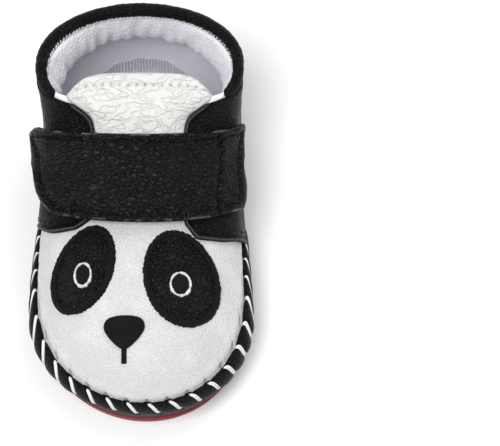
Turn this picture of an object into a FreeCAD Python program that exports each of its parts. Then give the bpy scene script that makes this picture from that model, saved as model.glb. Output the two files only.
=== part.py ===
"""Baby bootie for a right foot: soft leather upper on a thin rubber sole.

The toe points to -Y, the heel to +Y, the outer (lateral) side to -X and the ground is Z = 0.
Every leather, foam and fabric layer follows one foot form at its own distance from it, so a
layer is named by how far its inner and outer faces lie from the form.  All sizes are in mm.
"""
import FreeCAD
import Part

import math
import os

LATERAL = -1
MEDIAL = 1
SIDE_NAMES = {LATERAL: "lateral", MEDIAL: "medial"}

# ---------------------------------------------------------------- driving dimensions

DIMENSIONS = [
    ("outsole_thickness", 3.0, "rubber sole, ground to top face"),
    ("outsole_welt", 1.6, "how far the sole stands out past the form"),
    ("outsole_bevel", 0.6, "bevel round the sole's top edge"),
    ("tread_pitch", 7.0, "from one tread groove to the next"),
    ("tread_width", 1.6, "width of a tread groove"),
    ("tread_depth", 0.9, "depth of a tread groove"),
    ("tread_count", 13, "number of tread grooves"),
    ("board_thickness", 1.2, "insole board"),
    ("foam_thickness", 2.0, "midsole foam"),
    ("sock_thickness", 1.6, "ribbed insole"),
    ("seat_inset", 0.4, "gap from the form to the boards' edges"),
    ("fit_gap", 0.1, "gap between neighbouring layers"),
    ("leather", 1.2, "leather thickness of the upper"),
    ("lining", 0.8, "lining thickness"),
    ("vamp_top", 32.5, "height of the vamp's edge at the tongue"),
    ("vamp_end", 3.0, "how far back the vamp's wings reach"),
    ("quarter_top", 43.2, "height of the quarters' top edge"),
    ("counter_top", 26.0, "height of the heel stiffener"),
    ("counter_front", 25.0, "front ends of the heel stiffener"),
    ("band_bottom", 33.2, "lower edge of the padded collar band"),
    ("collar_height", 45.3, "centre of the collar roll at the heel"),
    ("collar_radius_heel", 2.0, "collar roll at the heel"),
    ("collar_radius_side", 1.7, "collar roll at its front ends"),
    ("collar_skin", 0.8, "leather round the collar roll"),
    ("collar_end", 25.0, "distance of the roll's ends from the centre line"),
    ("tongue_top", 47.2, "height of the tongue's top edge"),
    ("strap_slant", 1.3, "the strap is cut by planes Y + slant * Z = constant"),
    ("strap_low", 32.5, "the constant at the strap's lower edge"),
    ("strap_high", 68.7, "the constant at the strap's upper edge"),
    ("strap_hinge", 20.4, "distance of the stitched fold from the centre line"),
    ("strap_fold_gap", 0.5, "gap between the strap and its stitched end"),
    ("strap_lift_medial", 1.6, "strap's distance from the form at its stitched end"),
    ("strap_lift_lateral", 2.9, "strap's distance from the form at its free end"),
    ("strap_leather", 1.0, "leather of the strap"),
    ("strap_backing", 0.5, "fabric on the underside of the strap"),
    ("closure_reach", 15.5, "inner edge of the hook and loop patches, from the centre line"),
    ("strap_end_angle", 171.0, "direction of the free end, from the medial side up and over"),
    ("strap_end_lean", 12.0, "how much sooner the free end stops at the upper edge, in degrees"),
    ("strap_tail_angle", 10.0, "direction of the stitched end"),
    ("strap_tail_lean", 11.0, "how much sooner the stitched end stops at the upper edge"),
    ("stitch_radius", 0.25, "sewing thread"),
    ("stitch_length", 1.7, "one machine stitch"),
    ("stitch_clear", 0.2, "from the surface to the thread"),
    ("whip_radius", 0.55, "thick white lacing thread"),
    ("whip_pitch", 6.1, "from one lacing stitch to the next"),
    ("whip_reach", 3.2, "how far a lacing stitch reaches each side of the seam"),
    ("patch_thickness", 0.7, "leather of an eye patch"),
    ("border_width", 2.2, "satin stitch round an eye patch"),
    ("border_height", 1.1, "height of the satin stitch"),
    ("embroidery", 0.5, "height of other embroidery"),
]

# The form is a stack of outlines.  Each is an ellipse arc round the toe and another round the
# heel, joined by gently blended sides.  From the ground up:
MEASURES = ("height", "toe_line", "toe_centre", "toe_half", "heel_line", "heel_centre", "heel_half")
LEVELS = [
    ("feather", (3.0, -56.3, -28.0, 28.6, 56.8, 36.0, 23.5)),
    ("wall", (7.0, -57.3, -29.0, 30.2, 58.6, 37.0, 24.6)),
    ("rim", (12.0, -57.6, -30.0, 31.2, 60.0, 37.0, 26.0)),
    ("shoulder", (16.0, -56.8, -24.0, 30.6, 60.4, 37.0, 27.0)),
    ("toe_box", (20.0, -53.8, -14.0, 29.6, 60.4, 36.5, 27.8)),
    ("toe_crown", (24.0, -47.0, 0.0, 28.5, 60.1, 36.0, 28.3)),
    ("vamp_slope", (27.0, -36.5, 14.0, 28.2, 59.7, 35.5, 28.5)),
    ("vamp_crest", (29.5, -22.0, 26.0, 28.1, 59.2, 35.0, 28.6)),
    ("instep", (32.0, -7.0, 30.0, 28.1, 58.7, 34.5, 28.7)),
    ("throat", (35.5, 5.0, 32.0, 28.6, 58.0, 34.0, 28.8)),
    ("ankle", (40.5, 17.6, 33.0, 29.0, 57.0, 34.0, 29.0)),
    ("topline", (44.0, 24.0, 33.0, 29.2, 56.2, 34.0, 29.1)),
    ("tongue_tip", (47.5, 34.5, 40.0, 29.3, 55.4, 42.0, 29.2)),
]
TOE_SWING = 2.3             # the toe leans this far to the medial side
TOE_SWING_START = -10.0
TOE_SWING_LENGTH = 50.0
HEEL_SHARE = 0.33           # share of half an outline that goes round the heel
SIDE_SHARE = 0.60           # and the share after which the toe curve starts

# Half width of the throat between the quarters, by height.
THROAT_EDGE = [(31.0, 13.0), (39.5, 13.0), (41.0, 13.6), (42.0, 15.0), (43.2, 18.8)]
# Half width of the tongue, by height.
TONGUE_EDGE = [(32.8, 11.9), (40.5, 12.0), (42.0, 13.0), (43.5, 17.0), (44.6, 19.4), (47.2, 18.6)]
TONGUE_CROWN = 0.6          # how far its top edge falls towards the corners
TONGUE_CORNER_DROP = 1.9    # and how far the rounded corners fall below that
# Y of the quarters' lower front edge, by height.
QUARTER_EDGES = {
    LATERAL: [(3.0, -2.0), (12.0, -2.0), (18.0, -3.6), (24.0, -7.0), (28.0, -9.6), (29.5, -9.5),
              (31.0, -7.4), (34.0, -4.0)],
    MEDIAL: [(3.0, -7.5), (12.0, -7.5), (18.0, -8.6), (24.0, -10.6), (28.0, -12.4), (29.3, -12.5),
             (30.7, -9.6), (34.0, -6.0)],
}

# Face, as places on the ground under each piece: centre, half width, half length, lean, taper.
EYE_PATCHES = {
    LATERAL: (-15.8, -21.1, 8.9, 13.3, 22.0, -0.06),
    MEDIAL: (12.5, -24.0, 10.9, 14.4, -18.0, -0.06),
}
# Centre, half width and half length of the embroidered eyes.
EYE_RINGS = {LATERAL: ((-15.7, -23.0), 2.8, 3.8), MEDIAL: ((12.3, -26.0), 3.3, 3.8)}
EYE_RING_WIDTH = 1.0
NOSE_OUTLINE = [(-8.2, -36.0), (-3.6, -35.2), (1.0, -36.0), (2.2, -38.8), (-0.2, -42.4),
                (-3.6, -44.6), (-7.0, -42.4), (-9.4, -38.8)]
MOUTH_TOP = (-3.6, -44.6)
MOUTH_SIZE = (1.5, 3.8)


def monotone_curve(stations, values):
    """A smooth curve through the points that never overshoots them."""
    steps = [b - a for a, b in zip(stations, stations[1:])]
    slopes = [(b - a) / step for a, b, step in zip(values, values[1:], steps)]
    tangents = [slopes[0]]
    for before, after, left, right in zip(slopes, slopes[1:], steps, steps[1:]):
        if before * after <= 0:
            tangents.append(0.0)
            continue
        first = 2 * right + left
        second = right + 2 * left
        tangents.append((first + second) / (first / before + second / after))
    tangents.append(slopes[-1])

    def curve(station):
        index = 0
        while index < len(steps) - 1 and station > stations[index + 1]:
            index += 1
        share = (station - stations[index]) / steps[index]
        share = min(max(share, 0.0), 1.0)
        rise = values[index + 1] - values[index]
        start = tangents[index] * steps[index]
        finish = tangents[index + 1] * steps[index]
        bend = (3 * rise - 2 * start - finish) * share ** 2
        return values[index] + start * share + bend + (start + finish - 2 * rise) * share ** 3

    return curve


def smooth_step(share):
    share = min(max(share, 0.0), 1.0)
    return share * share * (3 - 2 * share)


def spread(start, finish, count):
    """Evenly spaced values from start to finish."""
    return [start + (finish - start) * index / (count - 1) for index in range(count)]


def evenly(points, count):
    """The given number of points, evenly spaced along a line through many points."""
    lengths = [0.0]
    for start, end in zip(points, points[1:]):
        lengths.append(lengths[-1] + (end - start).Length)
    places = []
    index = 0
    for target in spread(0.0, lengths[-1], count):
        while index < len(points) - 2 and lengths[index + 1] < target:
            index += 1
        share = (target - lengths[index]) / (lengths[index + 1] - lengths[index])
        places.append(points[index] + (points[index + 1] - points[index]) * share)
    return places


def swing(y):
    lean = max((TOE_SWING_START - y) / TOE_SWING_LENGTH, 0.0)
    return TOE_SWING * lean ** 2


class Form:
    """The foot form: a smooth closed surface that every layer is offset from."""

    def __init__(self, levels):
        heights = [level[0] for level in levels]
        self.curves = []
        for column in range(1, len(MEASURES)):
            self.curves.append(monotone_curve(heights, [level[column] for level in levels]))

    def outline(self, height):
        return [curve(height) for curve in self.curves]

    def width_squared(self, y, height):
        """Square of the half width, which goes negative past the toe and the heel."""
        toe_line, toe_centre, toe_half, heel_line, heel_centre, heel_half = self.outline(height)
        if y > heel_centre:
            return heel_half ** 2 * (1 - ((y - heel_centre) / (heel_line - heel_centre)) ** 2)
        if y < toe_centre:
            return toe_half ** 2 * (1 - ((toe_centre - y) / (toe_centre - toe_line)) ** 2)
        share = smooth_step((heel_centre - y) / (heel_centre - toe_centre))
        return (heel_half + (toe_half - heel_half) * share) ** 2

    def excess(self, x, y, height):
        """Positive outside the form, negative inside it."""
        return (x - swing(y)) ** 2 - self.width_squared(y, height)

    def graded_heights(self, low, high, count):
        """Heights from low to high, closer together where the top of the foot slopes gently."""
        heights = spread(low, high, 200)
        marks = [FreeCAD.Vector(height, 0.35 * self.outline(height)[0], 0) for height in heights]
        return [mark.x for mark in evenly(marks, count)]

    def normal(self, point, step=0.05):
        """The outward direction, level or rising, so that the layers stand on the sole."""
        x, y, z = point
        across = self.excess(x + step, y, z) - self.excess(x - step, y, z)
        along = self.excess(x, y + step, z) - self.excess(x, y - step, z)
        upward = self.excess(x, y, z + step) - self.excess(x, y, z - step)
        return FreeCAD.Vector(across, along, max(upward, 0.0)).normalize()

    def point(self, height, around, side):
        """A point on the outline at a height: around runs from 0 at the heel to 1 at the toe."""
        toe_line, toe_centre, toe_half, heel_line, heel_centre, heel_half = self.outline(height)
        if around < HEEL_SHARE:
            angle = around / HEEL_SHARE * math.pi / 2
            x = heel_half * math.sin(angle)
            y = heel_centre + (heel_line - heel_centre) * math.cos(angle)
        elif around < SIDE_SHARE:
            share = (around - HEEL_SHARE) / (SIDE_SHARE - HEEL_SHARE)
            x = heel_half + (toe_half - heel_half) * smooth_step(share)
            y = heel_centre + (toe_centre - heel_centre) * share
        else:
            angle = (around - SIDE_SHARE) / (1 - SIDE_SHARE) * math.pi / 2
            x = toe_half * math.cos(angle)
            y = toe_centre - (toe_centre - toe_line) * math.sin(angle)
        return FreeCAD.Vector(side * x + swing(y), y, height)

    def around_at_length(self, height, y):
        """Where the outline at a height passes a given Y."""
        toe_line, toe_centre, _, heel_line, heel_centre, _ = self.outline(height)
        if y > heel_centre:
            turn = math.acos(min((y - heel_centre) / (heel_line - heel_centre), 1.0))
            return HEEL_SHARE * turn / (math.pi / 2)
        if y > toe_centre:
            share = (heel_centre - y) / (heel_centre - toe_centre)
            return HEEL_SHARE + (SIDE_SHARE - HEEL_SHARE) * share
        turn = math.asin(min((toe_centre - y) / (toe_centre - toe_line), 1.0))
        return SIDE_SHARE + (1 - SIDE_SHARE) * turn / (math.pi / 2)

    def around_at_width(self, height, half_width):
        """Where the toe curve of the outline at a height is a given half width."""
        toe_half = self.outline(height)[2]
        turn = math.acos(min(half_width / toe_half, 1.0))
        return SIDE_SHARE + (1 - SIDE_SHARE) * turn / (math.pi / 2)

    def along_ray(self, start, direction, reach=70.0):
        """The point where a ray from inside the form leaves it."""
        near = 0.0
        far = reach
        for _ in range(40):
            middle = (near + far) / 2
            trial = start + direction * middle
            if self.excess(trial.x, trial.y, trial.z) < 0:
                near = middle
            else:
                far = middle
        return start + direction * near

    def above(self, x, y):
        """The point of the upper surface over a place on the ground."""
        base = FreeCAD.Vector(x, y, cell("rim_height"))
        return self.along_ray(base, FreeCAD.Vector(0, 0, 1))


# ---------------------------------------------------------------- document and sheet

doc = FreeCAD.newDocument("BabyBootie")
sheet = doc.addObject("Spreadsheet::Sheet", "Dimensions")


def fill_sheet():
    for row, (alias, value, note) in enumerate(DIMENSIONS, start=1):
        sheet.set(f"A{row}", note)
        sheet.set(f"B{row}", str(value))
        sheet.setAlias(f"B{row}", alias)
    first_row = len(DIMENSIONS) + 2
    for row, (name, values) in enumerate(LEVELS, start=first_row):
        sheet.set(f"A{row}", name)
        for column, measure, value in zip("BCDEFGH", MEASURES, values):
            sheet.set(f"{column}{row}", str(value))
            sheet.setAlias(f"{column}{row}", f"{name}_{measure}")
    doc.recompute()


def cell(alias):
    return float(sheet.get(alias))


fill_sheet()
form = Form([[cell(f"{name}_{measure}") for measure in MEASURES] for name, _ in LEVELS])
throat_edge = monotone_curve(*zip(*THROAT_EDGE))
tongue_edge = monotone_curve(*zip(*TONGUE_EDGE))
finished = []


def finish(feature, node):
    """Name a finished sub-part and put it on the list to export."""
    feature.Label = node
    finished.append(feature)
    return feature


def add_shape(node, shape):
    feature = doc.addObject("Part::Feature", node)
    feature.Shape = shape
    feature.Placement = FreeCAD.Placement()
    return finish(feature, node)


# ---------------------------------------------------------------- layers on the form

def offset_grid(grid, distance):
    return [[point + form.normal(point) * lift for point, lift in zip(row, lifts(row, distance))]
            for row in grid]


def lifts(row, distance):
    if callable(distance):
        return [distance(point) for point in row]
    return [distance] * len(row)


def spline_face(grid):
    surface = Part.BSplineSurface()
    surface.interpolate(grid)
    return surface.toShape()


def border_edges(face):
    """The four edges of a spline face, in the order: first row, last row, first, last column."""
    surface = face.Surface
    low_u, high_u, low_v, high_v = surface.bounds()
    curves = [surface.uIso(low_u), surface.uIso(high_u), surface.vIso(low_v), surface.vIso(high_v)]
    return [curve.toShape() for curve in curves]


def layer(grid, inner, outer):
    """A closed solid between two distances from a grid of points on the form."""
    inner_face = spline_face(offset_grid(grid, inner))
    outer_face = spline_face(offset_grid(grid, outer))
    faces = [inner_face, outer_face]
    for inner_edge, outer_edge in zip(border_edges(inner_face), border_edges(outer_face)):
        faces.append(Part.makeRuledSurface(inner_edge, outer_edge))
    shell = Part.makeShell(faces)
    shell.sewShape()
    solid = Part.makeSolid(shell)
    if solid.Volume < 0:
        solid.reverse()
    return solid


def outline_run(height, lateral_end, medial_end, way, count):
    """Evenly spaced points from the lateral side to the medial side, by the toe or the heel."""
    there = [form.point(height, around, LATERAL) for around in spread(lateral_end, way, 150)]
    back = [form.point(height, around, MEDIAL) for around in spread(way, medial_end, 150)]
    return evenly(there + back[1:], count)


def toe_band(heights, lateral_end, medial_end, columns):
    """Rows round the toe, from a Y on the lateral side to a Y on the medial side."""
    grid = []
    for height in heights:
        start = form.around_at_length(height, lateral_end)
        stop = form.around_at_length(height, medial_end)
        grid.append(outline_run(height, start, stop, 1.0, columns))
    return grid


def heel_band(heights, front, columns):
    """Rows round the heel, from one side to the other; front gives the end at a height."""
    return [outline_run(height, front(height), front(height), 0.0, columns) for height in heights]


def side_panel(side, heights, front, columns):
    """Rows from the heel seam to a front edge, on one side."""
    seam = 0.002
    grid = []
    for height in heights:
        dense = [form.point(height, around, side) for around in spread(seam, front(height), 200)]
        grid.append(evenly(dense, columns))
    return grid


def nearer(first, second, blend=0.012):
    """The smaller of two values, with the change-over rounded off."""
    return -blend * math.log(math.exp(-first / blend) + math.exp(-second / blend))


def quarter_front(side):
    """The quarters' front edge: up the side, over the foot and back along the throat."""
    edge = monotone_curve(*zip(*QUARTER_EDGES[side]))

    def front(height):
        by_length = form.around_at_length(height, edge(height))
        return nearer(by_length, form.around_at_width(height, throat_edge(height)))

    return front


# ---------------------------------------------------------------- sole

def sole_outline(height, spread_out, elevation):
    """A closed smooth wire round the form at a height, moved outward and laid at an elevation."""
    turns = spread(0.0, 1.0, 19)
    there = [form.point(height, around, MEDIAL) for around in turns]
    back = [form.point(height, around, LATERAL) for around in turns[-2:0:-1]]
    points = []
    for point in there + back:
        outward = form.normal(point)
        outward.z = 0
        moved = point + outward.normalize() * spread_out
        points.append(FreeCAD.Vector(moved.x, moved.y, elevation))
    curve = Part.BSplineCurve()
    curve.interpolate(points, PeriodicFlag=True)
    return curve


def origin_plane(body, role):
    return next(item for item in body.Origin.OriginFeatures if item.Role == role)


def add_sketch(body, name, role="XY_Plane"):
    sketch = body.newObject("Sketcher::SketchObject", name)
    sketch.AttachmentSupport = [(origin_plane(body, role), "")]
    sketch.MapMode = "FlatFace"
    return sketch


def add_rectangle(sketch, low_x, low_y, high_x, high_y):
    corners = [(low_x, low_y), (high_x, low_y), (high_x, high_y), (low_x, high_y)]
    for start, end in zip(corners, corners[1:] + corners[:1]):
        sketch.addGeometry(Part.LineSegment(FreeCAD.Vector(*start, 0), FreeCAD.Vector(*end, 0)))


def make_outsole():
    """Thin rubber sole with shallow grooves across the tread."""
    body = doc.addObject("PartDesign::Body", "OutsoleBody")
    outline = add_sketch(body, "OutsoleOutline")
    outline.addGeometry(sole_outline(cell("feather_height"), cell("outsole_welt"), 0.0))
    pad = body.newObject("PartDesign::Pad", "OutsolePad")
    pad.Profile = outline
    pad.setExpression("Length", "Dimensions.outsole_thickness")
    doc.recompute()

    groove_sketch = add_sketch(body, "TreadGroove")
    first = -cell("tread_pitch") * (cell("tread_count") - 1) / 2
    half = cell("tread_width") / 2
    reach = cell("feather_toe_half") * 1.5
    add_rectangle(groove_sketch, -reach, first - half, reach, first + half)
    solid_volume = pad.Shape.Volume
    groove = body.newObject("PartDesign::Pocket", "TreadPocket")
    groove.Profile = groove_sketch
    groove.Reversed = True
    groove.setExpression("Length", "Dimensions.tread_depth")
    doc.recompute()
    rows = body.newObject("PartDesign::LinearPattern", "TreadRows")
    rows.Originals = [groove]
    rows.Direction = (groove_sketch, ["V_Axis"])
    rows.setExpression("Length", "Dimensions.tread_pitch * (Dimensions.tread_count - 1)")
    rows.setExpression("Occurrences", "Dimensions.tread_count")
    body.Tip = rows
    doc.recompute()
    if not rows.Shape.Volume < solid_volume - 100:
        raise RuntimeError("the tread grooves cut nothing")

    bevel = body.newObject("PartDesign::Chamfer", "OutsoleBevel")
    top = cell("outsole_thickness") - 0.01
    rims = [f"Edge{index}" for index, edge in enumerate(rows.Shape.Edges, start=1)
            if edge.BoundBox.ZMin > top]
    bevel.Base = (rows, rims)
    bevel.setExpression("Size", "Dimensions.outsole_bevel")
    body.Tip = bevel
    doc.recompute()
    finish(body, "outsole")


def make_board(node, thickness_alias, bottom):
    """One flat layer of the footbed, cut to the form at its own height."""
    outline = doc.addObject("Part::Feature", node + "_outline")
    outline.Shape = Part.Wire(sole_outline(bottom, -cell("seat_inset"), bottom).toShape())
    board = doc.addObject("Part::Extrusion", node)
    board.Base = outline
    board.DirMode = "Custom"
    board.Dir = FreeCAD.Vector(0, 0, 1)
    board.Solid = True
    board.setExpression("LengthFwd", f"Dimensions.{thickness_alias}")
    finish(board, node)
    return bottom + cell(thickness_alias) + cell("fit_gap")


def make_footbed():
    """Board, foam and ribbed insole, stacked; returns the height where the linings start."""
    height = cell("outsole_thickness") + cell("fit_gap")
    height = make_board("insole_board", "board_thickness", height)
    height = make_board("midsole_foam", "foam_thickness", height)
    return make_board("insole", "sock_thickness", height)


# ---------------------------------------------------------------- upper

def make_upper(seat):
    """Side wall, vamp, quarters and everything sewn inside them."""
    gap = cell("fit_gap")
    leather = cell("leather")
    rim = cell("rim_height")
    vamp_top = cell("vamp_top")
    sole_top = cell("outsole_thickness") + gap
    quarter_top = cell("quarter_top")

    wall_ends = [QUARTER_EDGES[side][0][1] - 2 * gap for side in (LATERAL, MEDIAL)]
    wall_grid = toe_band(spread(sole_top, rim - gap, 5), *wall_ends, 27)
    add_shape("side_wall", layer(wall_grid, gap, gap + leather))

    vamp_heights = form.graded_heights(seat, vamp_top, 17)
    vamp_grid = toe_band(vamp_heights, cell("vamp_end"), cell("vamp_end"), 27)
    add_shape("vamp", layer(vamp_grid, -leather - gap, -gap))
    lining_outer = -leather - 3 * gap
    lining_inner = lining_outer - cell("lining")
    add_shape("forefoot_lining", layer(vamp_grid, lining_inner, lining_outer))

    for side, name in SIDE_NAMES.items():
        heights = form.graded_heights(sole_top, quarter_top, 33)
        quarter = layer(side_panel(side, heights, quarter_front(side), 20), gap, gap + leather)
        add_shape(f"quarter_{name}", quarter)
        lining_top = cell("band_bottom") - 2 * gap
        heights = form.graded_heights(seat, lining_top, 31)
        grid = side_panel(side, heights, lining_front, 16)
        add_shape(f"quarter_lining_{name}", layer(grid, lining_inner, lining_outer))

    counter_heights = spread(seat, cell("counter_top"), 6)
    counter = heel_band(counter_heights,
                        lambda height: form.around_at_length(height, cell("counter_front")), 19)
    add_shape("heel_counter", layer(counter, -leather - gap, -gap))


def lining_front(height):
    """The quarter linings stop just behind the forefoot lining, and at the throat above it."""
    by_length = form.around_at_length(height, cell("vamp_end") + 0.4)
    return nearer(by_length, form.around_at_width(height, throat_edge(height) + 1.5))


def band_front(height):
    return form.around_at_width(height, throat_edge(height) + 3.0)


def make_collar():
    """Padded band inside the ankle opening and the leather roll along its top."""
    gap = cell("fit_gap")
    heights = spread(cell("band_bottom"), cell("quarter_top") - 0.5, 6)
    grid = heel_band(heights, band_front, 27)
    add_shape("collar_padding", layer(grid, -1.5, -gap))
    add_shape("collar_lining", layer(grid, -2.8, -1.5 - gap))

    height = cell("collar_height")
    end = form.around_at_width(height, cell("collar_end"))
    line = [point - form.normal(point) * 0.6 for point in outline_run(height, end, end, 0.0, 21)]

    def ring(index, trim):
        """One closed section of the roll, square to its centre line."""
        centre = line[index]
        along = line[min(index + 1, 20)] - line[max(index - 1, 0)]
        upward = FreeCAD.Vector(0, 0, 1)
        outward = along.cross(upward).normalize()
        share = smooth_step(abs(index - 10) / 10)
        radius = cell("collar_radius_heel")
        radius += (cell("collar_radius_side") - radius) * share - trim
        points = []
        for step in range(12):
            turn = 2 * math.pi * step / 12
            points.append(centre + (outward * math.cos(turn) + upward * math.sin(turn)) * radius)
        curve = Part.BSplineCurve()
        curve.interpolate(points, PeriodicFlag=True)
        return Part.Wire(curve.toShape())

    def rod(trim):
        return Part.makeLoft([ring(index, trim) for index in range(len(line))], True)

    skin = cell("collar_skin")
    add_shape("collar_core", rod(skin + gap))
    add_shape("collar_cover", rod(0.0).cut(rod(skin)))


# ---------------------------------------------------------------- tongue

def make_tongue():
    """Padded tongue, hinged along its seam to the vamp."""
    low = cell("vamp_top") + 0.35
    high = cell("tongue_top")

    def place(height, across):
        """A point of the tongue; its top corners are rounded off downward."""
        share = (height - low) / (high - low)
        x = across * tongue_edge(height)
        fall = TONGUE_CROWN * across ** 2 + TONGUE_CORNER_DROP * across ** 6
        dropped = height - share ** 4 * fall
        side = MEDIAL if x > 0 else LATERAL
        return form.point(dropped, form.around_at_width(dropped, abs(x)), side)

    grid = [[place(height, across) for across in spread(-1.0, 1.0, 13)]
            for height in form.graded_heights(low, high, 15)]
    add_shape("tongue_leather", layer(grid, -1.1, -0.1))
    add_shape("tongue_foam", layer(grid, -2.2, -1.15))
    add_shape("tongue_lining", layer(grid, -2.9, -2.25))

    hem = [place(high - 0.9, across) for across in spread(-0.84, 0.84, 80)]
    add_shape("tongue_stitching", stitch_row(hem, -0.1))


# ---------------------------------------------------------------- strap

def strap_point(plane, angle):
    """A point of the form on one of the strap's slanting cuts, seen at an angle."""
    slant = cell("strap_slant")
    hub_height = 22.0
    start = FreeCAD.Vector(0, plane - slant * hub_height, hub_height)
    turn = math.radians(angle)
    direction = FreeCAD.Vector(math.cos(turn), -slant * math.sin(turn), math.sin(turn))
    return form.along_ray(start, direction)


def angle_at(plane, x):
    """The angle at which the slanting cut passes a given X."""
    low = 5.0
    high = 175.0
    for _ in range(30):
        middle = (low + high) / 2
        if strap_point(plane, middle).x > x:
            low = middle
        else:
            high = middle
    return low


def strap_lift(point):
    """The strap's distance from the form: close at the stitched end, higher at the free end."""
    share = smooth_step((cell("toe_crown_toe_half") - point.x) / (2 * cell("toe_crown_toe_half")))
    low = cell("strap_lift_medial")
    return low + (cell("strap_lift_lateral") - low) * share


def raised(extra):
    return lambda point: strap_lift(point) + extra


def strap_grid(start_of, end_of, low, high, rows, columns):
    """Rows along the strap; start_of and end_of give the end angles from plane and share."""
    grid = []
    for turn in spread(0.0, math.pi, rows):
        share = (1 - math.cos(turn)) / 2
        plane = low + (high - low) * share
        angles = spread(start_of(plane, share), end_of(plane, share), 90)
        grid.append(evenly([strap_point(plane, angle) for angle in angles], columns))
    return grid


def end_line(plane):
    """The direction of the free end on one of the slanting cuts, before its corners are rounded."""
    share = (plane - cell("strap_low")) / (cell("strap_high") - cell("strap_low"))
    return cell("strap_end_angle") - cell("strap_end_lean") * share


def free_end(plane, share, inset=0.0):
    """The strap's rounded free end."""
    return end_line(plane) - 7.0 * abs(2 * share - 1) ** 4 - inset


def make_strap():
    """Stitched end, moving strap with its hook patch, and the loop patch it closes on."""
    low = cell("strap_low")
    high = cell("strap_high")
    hinge = cell("strap_hinge")
    half_gap = cell("strap_fold_gap") / 2
    gap = cell("fit_gap")
    backing = cell("strap_backing")
    leather = cell("strap_leather")

    def tail_end(plane, share):
        return cell("strap_tail_angle") + cell("strap_tail_lean") * share

    tail = strap_grid(tail_end, lambda plane, share: angle_at(plane, hinge + half_gap),
                      low, high, 11, 7)
    add_shape("strap_tail_backing", layer(tail, raised(0.0), raised(backing)))
    add_shape("strap_tail", layer(tail, raised(backing + gap), raised(backing + gap + leather)))

    strap = strap_grid(lambda plane, share: angle_at(plane, hinge - half_gap), free_end,
                       low, high, 15, 22)
    add_shape("strap_backing", layer(strap, raised(0.0), raised(backing)))
    add_shape("strap_leather", layer(strap, raised(backing + gap), raised(backing + gap + leather)))

    def patch_start(plane, share):
        return angle_at(plane, -cell("closure_reach"))

    def patch_end(plane, share):
        return end_line(plane) - 8.0

    hook = strap_grid(patch_start, patch_end, low + 5, high - 5, 8, 9)
    add_shape("hook_patch", layer(hook, raised(-0.5), raised(-1.5 * gap)))
    loop = strap_grid(patch_start, patch_end, low + 4, high - 4, 8, 9)
    quarter_outer = gap + cell("leather")
    add_shape("loop_patch", layer(loop, quarter_outer + 0.3, quarter_outer + 0.65))

    outer = backing + gap + leather
    edge = 3.0
    fold_angle = 34.0
    rows = []
    for plane in (low + edge, high - edge):
        turns = spread(fold_angle + 8, end_line(plane) - 9.0, 90)
        rows.append([strap_point(plane, angle) for angle in turns])
    end_row = [(low + (high - low) * share, share) for share in spread(0.14, 0.86, 40)]
    rows.append([strap_point(plane, free_end(plane, share, 3.0)) for plane, share in end_row])
    stitches = [stitch_row(row, raised(outer)) for row in rows]
    add_shape("strap_stitching", Part.makeCompound(stitches))
    anchor = [strap_point(plane, angle_at(plane, hinge + 1.8))
              for plane in spread(low + 2, high - 2, 40)]
    add_shape("anchor_stitching", stitch_row(anchor, raised(outer)))


# ---------------------------------------------------------------- stitching

def stitch_row(places, distance):
    """Short straight stitches along a line of points on the form."""
    radius = cell("stitch_radius")
    length = cell("stitch_length")
    height = distance if callable(distance) else lambda point: distance
    clear = radius + cell("stitch_clear")
    lifted = [point + form.normal(point) * (height(point) + clear) for point in places]
    stitches = []
    travelled = 0.0
    next_start = length
    for start, end in zip(lifted, lifted[1:]):
        travelled += (end - start).Length
        if travelled < next_start:
            continue
        direction = (end - start).normalize()
        stitches.append(Part.makeCylinder(radius, length, end - direction * length / 2, direction))
        next_start = travelled + 1.45 * length
    return Part.makeCompound(stitches)


def make_quarter_stitching():
    """A seam just inside the quarters' front edges, in front of the strap and behind it."""
    rows = []
    low = cell("strap_low") - 1.5
    high = cell("strap_high") + 1.5
    for side in (LATERAL, MEDIAL):
        front = quarter_front(side)
        seam = [form.point(height, front(height) - 0.02, side)
                for height in spread(cell("rim_height") + 2, cell("quarter_top") - 1, 220)]
        planes = [point.y + cell("strap_slant") * point.z for point in seam]
        ahead = [point for point, plane in zip(seam, planes) if plane < low]
        behind = [point for point, plane in zip(seam, planes) if plane > high]
        rows += [stitch_row(run, cell("fit_gap") + cell("leather")) for run in (ahead, behind)]
    add_shape("quarter_stitching", Part.makeCompound(rows))


def make_whip_stitches():
    """Thick slanting stitches that lace the vamp to the side wall over the rim."""
    radius = cell("whip_radius")
    rim = cell("rim_height")
    reach = cell("whip_reach")
    clear = radius + 2 * cell("fit_gap")
    start = form.around_at_length(rim, QUARTER_EDGES[LATERAL][0][1] - 3)
    stop = form.around_at_length(rim, QUARTER_EDGES[MEDIAL][0][1] - 3)
    path = [(around, LATERAL) for around in spread(start, 1.0, 200)]
    path += [(around, MEDIAL) for around in spread(1.0, stop, 200)[1:]]
    stitches = []
    travelled = 0.0
    next_start = 0.0
    previous = form.point(rim, *path[0])
    for around, side in path:
        place = form.point(rim, around, side)
        travelled += (place - previous).Length
        previous = place
        if travelled < next_start:
            continue
        next_start += cell("whip_pitch")
        outward = form.normal(place)
        outward.z = 0
        hub = place - outward.normalize() * 15
        low = form.along_ray(FreeCAD.Vector(hub.x, hub.y, rim - reach), outward)
        high = form.along_ray(FreeCAD.Vector(hub.x, hub.y, rim + reach), outward)
        under = low + form.normal(low) * (cell("leather") + clear)
        over = high + form.normal(high) * clear
        crest = place + form.normal(place) * (cell("leather") + clear + 0.9)
        arc = Part.Arc(under, crest, over).toShape()
        section = Part.Wire(Part.Circle(under, arc.tangentAt(arc.FirstParameter), radius).toShape())
        stitches.append(Part.Wire(arc).makePipeShell([section], True, True))
    add_shape("whip_stitches", Part.makeCompound(stitches))


# ---------------------------------------------------------------- face on the vamp

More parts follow.
